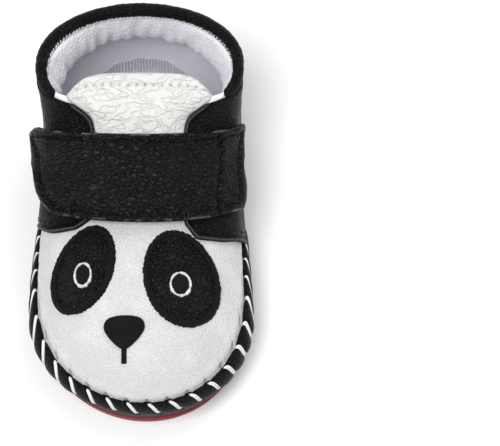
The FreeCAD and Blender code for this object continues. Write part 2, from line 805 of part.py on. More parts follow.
def dome(low_x, low_y, high_x, high_y, inner, outer):
    """A layer on top of the vamp over a rectangle on the ground."""
    grid = [[form.above(x, y) for x in spread(low_x, high_x, 14)] for y in spread(low_y, high_y, 14)]
    return layer(grid, inner, outer)


def egg_wire(centre, half_width, half_length, lean=0.0, taper=0.0, shrink=0.0):
    """A closed egg outline on the ground, optionally drawn in by a margin."""
    turn = math.radians(lean)
    points = []
    for index in range(16):
        angle = 2 * math.pi * index / 16
        across = (half_width - shrink) * math.sin(angle) * (1 + taper * math.cos(angle))
        along = (half_length - shrink) * math.cos(angle)
        x = centre[0] + across * math.cos(turn) + along * math.sin(turn)
        y = centre[1] - across * math.sin(turn) + along * math.cos(turn)
        points.append(FreeCAD.Vector(x, y, 0))
    curve = Part.BSplineCurve()
    curve.interpolate(points, PeriodicFlag=True)
    return Part.Wire(curve.toShape())


def smooth_wire(points):
    curve = Part.BSplineCurve()
    curve.interpolate([FreeCAD.Vector(x, y, 0) for x, y in points], PeriodicFlag=True)
    return Part.Wire(curve.toShape())


def cut_from_dome(node, wires, inner, outer):
    """A piece of the given thickness whose outline seen from above is the wires."""
    box = wires[0].BoundBox
    margin = 1.5
    slab = doc.addObject("Part::Feature", node + "_slab")
    slab.Shape = dome(box.XMin - margin, box.YMin - margin, box.XMax + margin, box.YMax + margin,
                      inner, outer)
    outline = doc.addObject("Part::Feature", node + "_outline")
    outline.Shape = Part.makeFace(wires, "Part::FaceMakerBullseye")
    column = doc.addObject("Part::Extrusion", node + "_column")
    column.Base = outline
    column.DirMode = "Custom"
    column.Dir = FreeCAD.Vector(0, 0, 1)
    column.Solid = True
    column.setExpression("LengthFwd", "Dimensions.tongue_top")
    piece = doc.addObject("Part::MultiCommon", node)
    piece.Shapes = [slab, column]
    return finish(piece, node)


def make_face():
    """Two leather eye patches, their satin borders, embroidered eyes, nose and mouth."""
    gap = cell("fit_gap")
    border = cell("border_width")
    thread = cell("embroidery")
    patch_top = cell("patch_thickness")
    for side, name in SIDE_NAMES.items():
        x, y, half_width, half_length, lean, taper = EYE_PATCHES[side]
        egg = ((x, y), half_width, half_length, lean, taper)
        outline = egg_wire(*egg)
        cut_from_dome(f"eye_patch_{name}", [egg_wire(*egg, shrink=border + gap)], 0.0, patch_top)
        cut_from_dome(f"eye_border_{name}", [outline, egg_wire(*egg, shrink=border)],
                      0.0, cell("border_height"))
        ring = EYE_RINGS[side]
        inner = EYE_RING_WIDTH
        cut_from_dome(f"eye_ring_{name}", [egg_wire(*ring), egg_wire(*ring, shrink=inner)],
                      patch_top + gap, patch_top + gap + thread)
        cut_from_dome(f"pupil_{name}", [egg_wire(*ring, shrink=inner + gap)],
                      patch_top + gap, patch_top + gap + 0.7 * thread)
    cut_from_dome("nose", [smooth_wire(NOSE_OUTLINE)], 0.0, cell("border_height"))
    x, y = MOUTH_TOP
    width, length = MOUTH_SIZE
    corners = [(x - width / 2, y), (x + width / 2, y), (x + width / 2, y - length),
               (x - width / 2, y - length)]
    loop = [FreeCAD.Vector(*corner, 0) for corner in corners + corners[:1]]
    cut_from_dome("mouth_stitch", [Part.makePolygon(loop)], 0.0, thread)


# ---------------------------------------------------------------- build and export

def check_document():
    for item in doc.Objects:
        if "Invalid" in item.State or "Error" in item.State:
            raise RuntimeError(f"{item.Label} did not recompute: {item.State}")
    for item in finished:
        if item.Shape.isNull() or not item.Shape.isValid():
            raise RuntimeError(f"{item.Label} has no valid shape")
        if not item.Shape.Solids or item.Shape.Volume <= 0:
            raise RuntimeError(f"{item.Label} has no volume")


def main():
    make_outsole()
    seat = make_footbed()
    make_upper(seat)
    make_collar()
    make_tongue()
    make_strap()
    make_quarter_stitching()
    make_whip_stitches()
    make_face()
    doc.recompute()
    check_document()
    os.makedirs("parts", exist_ok=True)
    for item in finished:
        item.Shape.exportStep(f"parts/{item.Label}.step")
        box = item.Shape.BoundBox
        print(f"{item.Label:24s} {item.Shape.Volume:9.1f} mm3  {len(item.Shape.Solids):3d} solids  "
              f"z {box.ZMin:6.2f} to {box.ZMax:6.2f}")


main()
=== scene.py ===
"""Looks of the baby bootie: leathers, linings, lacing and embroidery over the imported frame.

Sizes here are millimetres; build() turns them into metres.  As in the CAD model, every layer
lies at its own distance from one foot form.  The toe points to -Y, the outer side to -X.
"""
import math

import bmesh
import bpy
import numpy as np
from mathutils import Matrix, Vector


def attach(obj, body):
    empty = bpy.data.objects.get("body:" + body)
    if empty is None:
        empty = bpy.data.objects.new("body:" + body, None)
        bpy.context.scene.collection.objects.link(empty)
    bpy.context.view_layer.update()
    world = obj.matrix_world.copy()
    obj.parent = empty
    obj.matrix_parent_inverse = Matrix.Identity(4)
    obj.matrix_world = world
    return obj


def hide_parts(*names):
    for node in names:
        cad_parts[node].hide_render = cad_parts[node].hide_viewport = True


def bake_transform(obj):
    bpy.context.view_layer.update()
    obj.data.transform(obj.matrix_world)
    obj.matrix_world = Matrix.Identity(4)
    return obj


MM = 0.001
WELD = 2e-6                 # points closer than this, in metres, become one
LATERAL = -1
MEDIAL = 1
SIDE_NAMES = {LATERAL: "lateral", MEDIAL: "medial"}

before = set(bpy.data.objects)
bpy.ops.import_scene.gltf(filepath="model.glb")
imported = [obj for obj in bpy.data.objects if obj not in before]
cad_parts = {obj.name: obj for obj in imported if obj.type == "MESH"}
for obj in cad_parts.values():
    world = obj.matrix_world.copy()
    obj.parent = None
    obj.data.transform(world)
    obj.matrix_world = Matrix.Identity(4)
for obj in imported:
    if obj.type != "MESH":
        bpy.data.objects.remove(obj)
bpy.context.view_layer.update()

# ---- the foot form

# Height, toe line, toe centre, toe half width, heel line, heel centre, heel half width.
LEVELS = [
    (3.0, -56.3, -28.0, 28.6, 56.8, 36.0, 23.5),
    (7.0, -57.3, -29.0, 30.2, 58.6, 37.0, 24.6),
    (12.0, -57.6, -30.0, 31.2, 60.0, 37.0, 26.0),
    (16.0, -56.8, -24.0, 30.6, 60.4, 37.0, 27.0),
    (20.0, -53.8, -14.0, 29.6, 60.4, 36.5, 27.8),
    (24.0, -47.0, 0.0, 28.5, 60.1, 36.0, 28.3),
    (27.0, -36.5, 14.0, 28.2, 59.7, 35.5, 28.5),
    (29.5, -22.0, 26.0, 28.1, 59.2, 35.0, 28.6),
    (32.0, -7.0, 30.0, 28.1, 58.7, 34.5, 28.7),
    (35.5, 5.0, 32.0, 28.6, 58.0, 34.0, 28.8),
    (40.5, 17.6, 33.0, 29.0, 57.0, 34.0, 29.0),
    (44.0, 24.0, 33.0, 29.2, 56.2, 34.0, 29.1),
    (47.5, 34.5, 40.0, 29.3, 55.4, 42.0, 29.2),
]
TOE_SWING = 2.3
TOE_SWING_START = -10.0
TOE_SWING_LENGTH = 50.0
HEEL_SHARE = 0.33
SIDE_SHARE = 0.60


def monotone_curve(stations, values):
    """A smooth curve through the points that never overshoots them."""
    stations = np.asarray(stations, float)
    values = np.asarray(values, float)
    steps = np.diff(stations)
    slopes = np.diff(values) / steps
    tangents = np.zeros(len(stations))
    tangents[0] = slopes[0]
    tangents[-1] = slopes[-1]
    for index in range(1, len(slopes)):
        before, after = slopes[index - 1], slopes[index]
        if before * after <= 0:
            continue
        first = 2 * steps[index] + steps[index - 1]
        second = steps[index] + 2 * steps[index - 1]
        tangents[index] = (first + second) / (first / before + second / after)

    def curve(station):
        index = np.clip(np.searchsorted(stations, station) - 1, 0, len(steps) - 1)
        share = np.clip((station - stations[index]) / steps[index], 0, 1)
        rise = values[index + 1] - values[index]
        start = tangents[index] * steps[index]
        finish = tangents[index + 1] * steps[index]
        bend = (3 * rise - 2 * start - finish) * share ** 2
        return values[index] + start * share + bend + (start + finish - 2 * rise) * share ** 3

    return curve


def smooth_step(share):
    share = np.clip(share, 0, 1)
    return share * share * (3 - 2 * share)


def swing(y):
    return TOE_SWING * np.maximum((TOE_SWING_START - y) / TOE_SWING_LENGTH, 0) ** 2


class Form:
    """The foot form, as in the CAD model, worked out for whole arrays of points."""

    def __init__(self, levels):
        table = np.array(levels)
        self.curves = [monotone_curve(table[:, 0], column) for column in table[:, 1:].T]

    def outline(self, height):
        return [curve(height) for curve in self.curves]

    def width_squared(self, y, height):
        toe_line, toe_centre, toe_half, heel_line, heel_centre, heel_half = self.outline(height)
        heel = heel_half ** 2 * (1 - ((y - heel_centre) / (heel_line - heel_centre)) ** 2)
        toe = toe_half ** 2 * (1 - ((toe_centre - y) / (toe_centre - toe_line)) ** 2)
        share = smooth_step((heel_centre - y) / (heel_centre - toe_centre))
        middle = (heel_half + (toe_half - heel_half) * share) ** 2
        return np.where(y > heel_centre, heel, np.where(y < toe_centre, toe, middle))

    def excess(self, points):
        """Positive outside the form, negative inside it."""
        x, y, z = points[..., 0], points[..., 1], points[..., 2]
        return (x - swing(y)) ** 2 - self.width_squared(y, z)

    def normal(self, points, step=0.05):
        """The outward directions, level or rising."""
        slopes = []
        for axis in range(3):
            shift = np.zeros(3)
            shift[axis] = step
            slopes.append(self.excess(points + shift) - self.excess(points - shift))
        slopes[2] = np.maximum(slopes[2], 0)
        normals = np.stack(slopes, axis=-1)
        return normals / np.linalg.norm(normals, axis=-1, keepdims=True)

    def point(self, height, around, side):
        """Points of the outline at a height: around runs from 0 at the heel to 1 at the toe."""
        height, around, side = np.broadcast_arrays(height, around, side)
        toe_line, toe_centre, toe_half, heel_line, heel_centre, heel_half = self.outline(height)
        heel_turn = np.clip(around / HEEL_SHARE, 0, 1) * np.pi / 2
        share = np.clip((around - HEEL_SHARE) / (SIDE_SHARE - HEEL_SHARE), 0, 1)
        toe_turn = np.clip((around - SIDE_SHARE) / (1 - SIDE_SHARE), 0, 1) * np.pi / 2
        x = np.where(around < HEEL_SHARE, heel_half * np.sin(heel_turn),
                     heel_half + (toe_half - heel_half) * smooth_step(share))
        y = np.where(around < HEEL_SHARE,
                     heel_centre + (heel_line - heel_centre) * np.cos(heel_turn),
                     heel_centre + (toe_centre - heel_centre) * share)
        at_toe = around >= SIDE_SHARE
        x = np.where(at_toe, toe_half * np.cos(toe_turn), x)
        y = np.where(at_toe, toe_centre - (toe_centre - toe_line) * np.sin(toe_turn), y)
        return np.stack([side * x + swing(y), y, height], axis=-1)

    def around_at_length(self, height, y):
        toe_line, toe_centre, _, heel_line, heel_centre, _ = self.outline(height)
        if y > heel_centre:
            turn = math.acos(min((y - heel_centre) / (heel_line - heel_centre), 1.0))
            return HEEL_SHARE * turn / (math.pi / 2)
        if y > toe_centre:
            share = (heel_centre - y) / (heel_centre - toe_centre)
            return HEEL_SHARE + (SIDE_SHARE - HEEL_SHARE) * share
        turn = math.asin(min((toe_centre - y) / (toe_centre - toe_line), 1.0))
        return SIDE_SHARE + (1 - SIDE_SHARE) * turn / (math.pi / 2)

    def around_at_width(self, height, half_width):
        turn = np.arccos(np.clip(half_width / self.outline(height)[2], 0, 1))
        return SIDE_SHARE + (1 - SIDE_SHARE) * turn / (np.pi / 2)

    def along_ray(self, start, direction, reach=70.0, halvings=34):
        """Where rays from inside the form leave it."""
        near = np.zeros(start.shape[:-1])
        far = near + reach
        for _ in range(halvings):
            middle = (near + far) / 2
            inside = self.excess(start + direction * middle[..., None]) < 0
            near = np.where(inside, middle, near)
            far = np.where(inside, far, middle)
        return start + direction * near[..., None]

    def above(self, places):
        """The points of the upper surface over places (x, y) on the ground."""
        height = np.full(places.shape[:-1] + (1,), RIM_HEIGHT)
        start = np.concatenate([places, height], axis=-1)
        return self.along_ray(start, np.array([0.0, 0.0, 1.0]))


# ---- sizes taken from the CAD model
# The strap's sewn end and the tongue's edge lie a little differently here, to follow the photo.

RIM_HEIGHT = 12.0
SOLE_TOP = 3.1
SEAT = 8.2
VAMP_TOP = 32.5
VAMP_END = 3.0
QUARTER_TOP = 43.2
BAND_BOTTOM = 33.2
COLLAR_HEIGHT = 45.9
COLLAR_END = 25.0
COLLAR_DIP = 2.6
TONGUE_LOW = 32.85
TONGUE_TOP = 47.2
TONGUE_CROWN = 0.6
TONGUE_CORNER_DROP = 1.5
STRAP_SLANT = 1.3
STRAP_LOW = 32.5
STRAP_HIGH = 68.7
STRAP_HINGE = 20.4
STRAP_TAIL_ANGLE = 5.0
STRAP_TAIL_LEAN = 17.0
STRAP_END_ANGLE = 171.0
STRAP_END_LEAN = 12.0
CLOSURE_REACH = 15.5
WHIP_PITCH = 6.1
THROAT_EDGE = [(31.0, 13.0), (39.5, 13.0), (41.0, 13.6), (42.0, 15.0), (43.2, 18.8)]
TONGUE_EDGE = [(32.8, 13.8), (40.5, 13.9), (42.0, 14.9), (43.5, 19.8), (44.6, 22.0), (47.2, 20.2)]
QUARTER_EDGES = {
    LATERAL: [(3.0, -2.0), (12.0, -2.0), (18.0, -3.6), (24.0, -7.0), (28.0, -9.6), (29.5, -9.5),
              (31.0, -7.4), (34.0, -4.0)],
    MEDIAL: [(3.0, -7.5), (12.0, -7.5), (18.0, -8.6), (24.0, -10.6), (28.0, -12.4), (29.3, -12.5),
             (30.7, -9.6), (34.0, -6.0)],
}
# Centre, half width, half length, lean in degrees and taper of each eye patch.
EYE_PATCHES = {
    LATERAL: ((-15.8, -21.1), 8.9, 13.3, 22.0, -0.06),
    MEDIAL: ((12.5, -24.0), 10.9, 14.4, -18.0, -0.06),
}
EYE_RINGS = {LATERAL: ((-15.7, -23.0), 2.8, 3.8), MEDIAL: ((12.3, -26.0), 3.3, 3.8)}
EYE_RING_WIDTH = 1.0
BORDER_WIDTH = 2.2
NOSE_OUTLINE = [(-8.2, -36.0), (-3.6, -35.2), (1.0, -36.0), (2.2, -38.8), (-0.2, -42.4),
                (-3.6, -44.6), (-7.0, -42.4), (-9.4, -38.8)]
MOUTH_TOP = (-3.6, -44.2)
MOUTH_SIZE = (1.5, 4.2)

form = Form(LEVELS)
throat_edge = monotone_curve(*zip(*THROAT_EDGE))
tongue_edge = monotone_curve(*zip(*TONGUE_EDGE))


# ---- mesh helpers

SLOPE_WEIGHT = 0.35         # how much a gentle slope of the toe draws rows of points together
EDGE_SPACING = 0.15         # between the points that stand for an edge
BATCH = 64
WAVES = 7


def circle(count):
    """Angles evenly spread round one turn."""
    return np.linspace(0, 2 * np.pi, count, endpoint=False)


def side_of(place):
    return np.where(place < 0, LATERAL, MEDIAL)


def evenly(line, count):
    """The line again, with its points evenly spaced."""
    return along(line, np.linspace(0, length_of(line), count))


def along(line, distances):
    """Points at the given distances along a line through many points."""
    gaps = np.linalg.norm(np.diff(line, axis=0), axis=1)
    travelled = np.concatenate([[0.0], np.cumsum(gaps)])
    return np.stack([np.interp(distances, travelled, axis) for axis in line.T], axis=1)


def length_of(line):
    return np.linalg.norm(np.diff(line, axis=0), axis=1).sum()


def crowded(length, edge, fine, count):
    """Distances from 0 to length, closer together within edge of both ends."""
    near = edge * (1 - np.cos(np.linspace(0, np.pi / 2, fine)))
    middle = np.linspace(edge, length - edge, count + 2)[1:-1]
    return np.concatenate([near, middle, length - near[::-1]])


def rows_along(lines, edge, fine, count):
    """One row of points along each line, with more of them near its ends."""
    return np.array([along(line, crowded(length_of(line), edge, fine, count)) for line in lines])


def graded_heights(low, high, count):
    """Heights from low to high, closer together where the top of the foot slopes gently."""
    heights = np.linspace(low, high, 400)
    painted_light_masks = np.stack([heights, SLOPE_WEIGHT * form.outline(heights)[0]], axis=1)
    return evenly(painted_light_masks, count)[:, 0]


def nearest(points, line):
    """The distance from each point to a line of closely spaced points."""
    result = np.full(points.shape[:-1], 1e9)
    for start in range(0, len(line), BATCH):
        gaps = np.linalg.norm(points[..., None, :] - line[start:start + BATCH], axis=-1)
        result = np.minimum(result, gaps.min(axis=-1))
    return result


def rim_of(grid, sides="tblr"):
    """The chosen edges of a grid as one closely spaced line: top, bottom, left, right."""
    edges = {"b": grid[0], "t": grid[-1], "l": grid[:, 0], "r": grid[:, -1]}
    lines = [edges[side] for side in sides]
    dense = [evenly(line, int(length_of(line) / EDGE_SPACING) + 2) for line in lines]
    return np.concatenate(dense)


def crown(distance, radius):
    """Rounds an edge: 0 at the edge, 1 from radius inwards, along a quarter circle."""
    return np.sqrt(1 - (1 - np.clip(distance / radius, 0, 1)) ** 2)


def dent(distance, width):
    return np.exp(-(distance / width) ** 2)


def ripple(points, pitch, seed, stretch=(1.0, 1.0, 1.0)):
    """Smooth unevenness of about -1 to 1, with crests about pitch apart."""
    random = np.random.default_rng(seed)
    total = np.zeros(points.shape[:-1])
    for _ in range(WAVES):
        direction = random.normal(size=3) * stretch
        direction *= 2 * np.pi / pitch * random.uniform(0.6, 1.5) / np.linalg.norm(direction)
        total += np.sin(points @ direction + random.uniform(0, 2 * np.pi))
    return 2 * total / WAVES


def grid_faces(rows, columns, closed=False):
    index = np.arange(rows * columns).reshape(rows, columns)
    if closed:
        index = np.concatenate([index, index[:, :1]], axis=1)
    corners = [index[:-1, :-1], index[:-1, 1:], index[1:, 1:], index[1:, :-1]]
    return np.stack(corners, axis=-1).reshape(-1, 4)


class Pile:
    """Points and faces of one piece, gathered bit by bit."""

    def __init__(self):
        self.points = []
        self.faces = []
        # Per point, the strength of the painted shade and painted highlight that the leather materials
        # blend in.
        self.painted_light_masks = []
        self.size = 0

    def add(self, grid, closed=False, painted_light_masks=None):
        """A grid of points becomes a sheet, or a tube if its rows are closed rings."""
        rows, columns = grid.shape[:2]
        self.points.append(grid.reshape(-1, 3))
        self.faces.append(grid_faces(rows, columns, closed) + self.size)
        self.painted_light_masks.append(np.zeros(rows * columns) if painted_light_masks is None else painted_light_masks.reshape(-1))
        self.size += rows * columns
        return self


def build(name, pile, material, body="shoe", replaced=()):
    """Makes the piece, welds it shut, ties it to its body and hides the CAD nodes it replaces."""
    mesh = bpy.data.meshes.new(name)
    points = np.concatenate(pile.points) * MM
    mesh.from_pydata(points.tolist(), [], np.concatenate(pile.faces).tolist())
    # A per-point attribute carries the painted shade and painted highlight that the leather materials
    # blend in.
    painted_light = mesh.attributes.new("painted_light", "FLOAT", "POINT")
    painted_light.data.foreach_set("value", np.concatenate(pile.painted_light_masks).astype(np.float32))
    shape = bmesh.new()
    shape.from_mesh(mesh)
    bmesh.ops.remove_doubles(shape, verts=shape.verts, dist=WELD)
    bmesh.ops.recalc_face_normals(shape, faces=shape.faces)
    shape.to_mesh(mesh)
    shape.free()
    mesh.polygons.foreach_set("use_smooth", [True] * len(mesh.polygons))
    mesh.materials.append(material)
    piece = bpy.data.objects.new(name, mesh)
    bpy.context.scene.collection.objects.link(piece)
    if body:
        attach(piece, body)
    if replaced:
        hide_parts(*replaced)
    return piece


def shell(grid, inner, outer, radius=0.6, rounded="tblr", painted_light_masks=None):
    """A closed sheet between two distances from a grid on the form, rounded at its edges."""
    normals = form.normal(grid)
    inner = np.broadcast_to(inner, grid.shape[:-1])
    outer = np.broadcast_to(outer, grid.shape[:-1])
    middle = (inner + outer) / 2
    full = crown(nearest(grid, rim_of(grid, rounded)), radius)
    pile = Pile()
    pile.add(grid + normals * (middle + (outer - middle) * full)[..., None], painted_light_masks=painted_light_masks)
    pile.add(grid + normals * (middle + (inner - middle) * full)[..., None])
    return pile


def frames(path, up=(0.0, 0.0, 1.0)):
    """Two directions square to a path at each of its points."""
    ahead = np.gradient(path, axis=0)
    ahead /= np.linalg.norm(ahead, axis=1, keepdims=True)
    across = np.cross(ahead, up)
    across /= np.linalg.norm(across, axis=1, keepdims=True)
    return across, np.cross(across, ahead)


def tube(path, radius, sides, up=(0.0, 0.0, 1.0), flat=1.0, swell=0.0):
    """Closed rings round a path; radius may vary along it, and swell adds unevenness."""
    across, upward = frames(path, up)
    turns = circle(sides)
    reach = np.broadcast_to(radius, len(path))[:, None] * np.ones(sides) + swell
    wide = np.cos(turns) * reach
    high = np.sin(turns) * reach * flat
    return (path[:, None] + across[:, None] * wide[..., None]
            + upward[:, None] * high[..., None])


def tapered(count, radius, tip=3):
    """Radii for a path that closes to a rounded tip at both ends."""
    place = np.arange(count)
    end = np.minimum(place, count - 1 - place)
    return radius * crown(end, tip)


# ---- materials

class Recipe:
    """A procedural material: a Principled shader fed by texture nodes in millimetres."""

    def __init__(self, name, **sockets):
        self.material = bpy.data.materials.new(name)
        self.material.use_nodes = True
        self.tree = self.material.node_tree
        self.shader = self.tree.nodes["Principled BSDF"]
        for socket, value in sockets.items():
            self.shader.inputs[socket.replace("_", " ")].default_value = value
        place = self.node("TexCoord").outputs["Object"]
        self.place = self.node("VectorMath", {0: place, "Scale": 1000.0}, operation="SCALE").outputs[0]

    def node(self, kind, inputs=None, **settings):
        node = self.tree.nodes.new("ShaderNode" + kind)
        for name, value in settings.items():
            setattr(node, name, value)
        for name, value in (inputs or {}).items():
            self.feed(node.inputs[name], value)
        return node

    def feed(self, socket, value):
        if isinstance(value, bpy.types.NodeSocket):
            self.tree.links.new(value, socket)
        else:
            socket.default_value = value

    def noise(self, scale, detail=2.0, place=None):
        inputs = {"Vector": place or self.place, "Scale": scale, "Detail": detail}
        return self.node("TexNoise", inputs).outputs["Fac"]

    def warped(self, scale, amount):
        """The place, pushed about by noise."""
        inputs = {"Vector": self.place, "Scale": scale, "Detail": 2.0}
        colour = self.node("TexNoise", inputs).outputs["Color"]
        centred = self.node("VectorMath", {0: colour, 1: (0.5, 0.5, 0.5)}, operation="SUBTRACT")
        pushed = self.node("VectorMath", {0: centred.outputs[0], "Scale": amount}, operation="SCALE")
        return self.node("VectorMath", {0: self.place, 1: pushed.outputs[0]}).outputs[0]

    def stretched(self, place, scale):
        return self.node("Mapping", {"Vector": place, "Scale": scale}).outputs[0]

    def creases(self, size, place, width):
        """0 in the creases between cells of a size in millimetres, 1 on top of the cells."""
        inputs = {"Vector": place, "Scale": 1.0 / size}
        cells = self.node("TexVoronoi", inputs, feature="DISTANCE_TO_EDGE")
        return self.ramp(cells.outputs["Distance"], 0.0, width, 0.0, 1.0)

    def ramp(self, value, low, high, first, last):
        inputs = {"Value": value, "From Min": low, "From Max": high, "To Min": first, "To Max": last}
        return self.node("MapRange", inputs, interpolation_type="SMOOTHSTEP").outputs["Result"]

    def maths(self, operation, first, second):
        return self.node("Math", {0: first, 1: second}, operation=operation).outputs[0]

    def blend(self, share, first, second):
        node = self.node("Mix", data_type="RGBA")
        for index, value in ((0, share), (6, first), (7, second)):
            self.feed(node.inputs[index], value)
        return node.outputs[2]

    def bump(self, height, depth):
        """Relief of a depth in millimetres."""
        inputs = {"Height": height, "Distance": depth * MM, "Strength": 1.0}
        return self.node("Bump", inputs).outputs["Normal"]

    def finish(self, colour=None, roughness=None, normal=None):
        for socket, value in (("Base Color", colour), ("Roughness", roughness), ("Normal", normal)):
            if value is not None:
                self.feed(self.shader.inputs[socket], value)
        return self.material


def grey(value, tint=(1.0, 1.0, 1.0)):
    return tuple(value * part for part in tint) + (1.0,)


def leather(name, high, low, cell, depth, roughness, stretch=(1, 1, 1), shine=0.5,
            painted_light_colour=grey(0.04)):
    """Grained leather: folded creases round cells, a finer grain on them, paler worn patches here and
    there.
    """
    recipe = Recipe(name, Specular_IOR_Level=shine)
    place = recipe.stretched(recipe.warped(0.45 / cell, cell), stretch)
    folds = recipe.creases(cell, place, 0.22)
    fine = recipe.creases(cell * 0.42, place, 0.3)
    patchy = recipe.noise(0.12)
    height = recipe.maths("ADD", folds, recipe.maths("MULTIPLY", fine, 0.35))
    pores = recipe.noise(5.0, 3.0)
    height = recipe.maths("ADD", height, recipe.maths("MULTIPLY", pores, 0.15))
    # Painted shade: the colour is darker in the creases between the cells.
    colour = recipe.blend(recipe.ramp(folds, 0.0, 0.8, 0.0, 1.0), low, high)
    wear_and_highlight = grey(1.18 * sum(high[:3]) / 3)
    colour = recipe.blend(recipe.ramp(patchy, 0.45, 0.8, 0.0, 0.6), colour, wear_and_highlight)
    # Painted light: a per-point attribute blends in painted shade on the white leathers and a painted
    # highlight on the black leathers.
    painted_light = recipe.node("Attribute", attribute_name="painted_light").outputs["Fac"]
    colour = recipe.blend(painted_light, colour, painted_light_colour)
    rough = recipe.ramp(patchy, 0.3, 0.7, roughness[0], roughness[1])
    return recipe.finish(colour, rough, recipe.bump(height, depth))


def creased_leather(name, high, low):
    """Soft white leather with long wandering creases over a fine grain."""
    recipe = Recipe(name, Specular_IOR_Level=0.4)
    place = recipe.warped(0.22, 2.5)
    height = recipe.maths("MULTIPLY", recipe.creases(1.3, place, 0.25), 0.35)
    shade = None
    for scale, width in ((0.13, 0.030), (0.30, 0.045)):
        drift = recipe.noise(scale, 1.5, recipe.stretched(place, (0.7, 1.4, 1.4)))
        valley = recipe.maths("ABSOLUTE", recipe.maths("SUBTRACT", drift, 0.5), 0.0)
        valley = recipe.ramp(valley, 0.0, width, 0.0, 1.0)
        height = recipe.maths("ADD", height, valley)
        shade = valley if shade is None else recipe.maths("MULTIPLY", shade, valley)
    colour = recipe.blend(shade, low, high)
    # Painted shade: a per-point attribute darkens the stitch holes.
    painted_light = recipe.node("Attribute", attribute_name="painted_light").outputs["Fac"]
    colour = recipe.blend(painted_light, colour, grey(0.05))
    rough = recipe.ramp(recipe.noise(0.2), 0.3, 0.7, 0.42, 0.58)
    return recipe.finish(colour, rough, recipe.bump(height, 0.13))


def fabric(name, high, low, loop, depth, roughness=0.9, sheen=0.3):
    """Soft looped cloth."""
    recipe = Recipe(name, Specular_IOR_Level=0.2, Sheen_Weight=sheen, Sheen_Roughness=0.5)
    place = recipe.warped(0.8, 0.35)
    loops = recipe.node("TexVoronoi", {"Vector": place, "Scale": 1.0 / loop}).outputs["Distance"]
    loops = recipe.ramp(loops, 0.0, 0.8, 1.0, 0.0)
    soft = recipe.noise(0.3, 3.0)
    height = recipe.maths("ADD", loops, recipe.maths("MULTIPLY", soft, 1.2))
    colour = recipe.blend(recipe.ramp(loops, 0.1, 0.9, 0.0, 1.0), low, high)
    colour = recipe.blend(recipe.ramp(soft, 0.4, 0.7, 0.0, 0.35), colour, low)
    return recipe.finish(colour, roughness, recipe.bump(height, depth))


def ribbed(name, high, low, pitch, depth):
    """Cloth with ribs that run from toe to heel."""
    recipe = Recipe(name, Specular_IOR_Level=0.2, Sheen_Weight=0.3, Roughness=0.9)
    place = recipe.stretched(recipe.warped(0.5, 0.5), (1.0, 0.08, 0.08))
    inputs = {"Vector": place, "Scale": 1.0 / pitch / 3.18, "Distortion": 1.2, "Detail": 1.0}
    ribs = recipe.node("TexWave", inputs, bands_direction="X").outputs["Fac"]
    fuzz = recipe.noise(3.0, 3.0)
    height = recipe.maths("ADD", ribs, recipe.maths("MULTIPLY", fuzz, 0.4))
    shade = recipe.maths("MULTIPLY", ribs, recipe.ramp(fuzz, 0.2, 0.8, 0.7, 1.0))
    return recipe.finish(recipe.blend(shade, low, high), None, recipe.bump(height, depth))


def thread(name, high, low, roughness=0.55, shine=0.35, sheen=0.2):
    """Twisted sewing thread."""
    recipe = Recipe(name, Specular_IOR_Level=shine, Sheen_Weight=sheen, Roughness=roughness)
    place = recipe.stretched(recipe.place, (1.0, 1.0, 2.6))
    strands = recipe.noise(3.4, 2.0, place)
    colour = recipe.blend(recipe.ramp(strands, 0.35, 0.65, 0.0, 1.0), low, high)
    return recipe.finish(colour, None, recipe.bump(strands, 0.12))


def rubber(name, high, low):
    """Moulded rubber with a faint texture and scuffs."""
    recipe = Recipe(name, Specular_IOR_Level=0.5, Coat_Weight=0.25, Coat_Roughness=0.25)
    skin = recipe.noise(2.2, 4.0)
    scuffs = recipe.noise(0.35, 5.0, recipe.stretched(recipe.place, (1.0, 0.3, 2.0)))
    colour = recipe.blend(recipe.ramp(scuffs, 0.35, 0.7, 0.0, 1.0), high, low)
    rough = recipe.ramp(scuffs, 0.3, 0.7, 0.28, 0.5)
    return recipe.finish(colour, rough, recipe.bump(skin, 0.06))


# Painted highlight: the pale grey that the black leathers take along raised edges and rims.
EDGE_HIGHLIGHT = grey(0.16)
WHITE_LEATHER = leather("WhiteLeather", grey(0.62, (1.0, 1.0, 1.005)), grey(0.595), cell=0.95,
                        depth=0.10, roughness=(0.42, 0.58), shine=0.4)
TONGUE_LEATHER = creased_leather("CreasedWhiteLeather", grey(0.66, (1.0, 0.997, 0.98)),
                                 grey(0.595, (1.0, 0.99, 0.96)))
BLACK_LEATHER = leather("BlackLeather", grey(0.003), grey(0.001), cell=1.15, depth=0.30,
                        roughness=(0.34, 0.46), shine=0.17, painted_light_colour=EDGE_HIGHLIGHT)
STRAP_LEATHER = leather("BlackStrapLeather", grey(0.003), grey(0.001), cell=1.7, depth=0.42,
                        roughness=(0.22, 0.34), stretch=(0.75, 1.3, 1.3), shine=0.21,
                        painted_light_colour=EDGE_HIGHLIGHT)
PATCH_LEATHER = leather("BlackPatchLeather", grey(0.003), grey(0.001), cell=1.3, depth=0.34,
                        roughness=(0.26, 0.38), shine=0.20)
TERRY = fabric("TerryCloth", grey(0.96, (0.985, 0.985, 1.01)), grey(0.84, (0.975, 0.975, 1.04)),
               loop=0.75, depth=0.17)
LINING = fabric("LiningCloth", grey(0.93, (0.98, 0.98, 1.04)), grey(0.84, (0.97, 0.97, 1.06)),
                loop=0.45, depth=0.10)
RIBBED = ribbed("RibbedInsoleCloth", grey(0.78, (0.98, 0.98, 1.05)), grey(0.55, (0.97, 0.97, 1.07)),
                pitch=0.95, depth=0.35)
WHITE_THREAD = thread("WhiteThread", grey(0.86), grey(0.66))
BLACK_THREAD = thread("BlackThread", grey(0.0045), grey(0.0015), roughness=0.7, shine=0.15, sheen=0.03)
BLACK_FABRIC = fabric("BlackBackingCloth", grey(0.02), grey(0.008), loop=0.6, depth=0.12,
                      roughness=0.85, sheen=0.1)
HOOK_TAPE = fabric("HookAndLoopTape", grey(0.025), grey(0.006), loop=0.5, depth=0.4,
                   roughness=0.8, sheen=0.1)
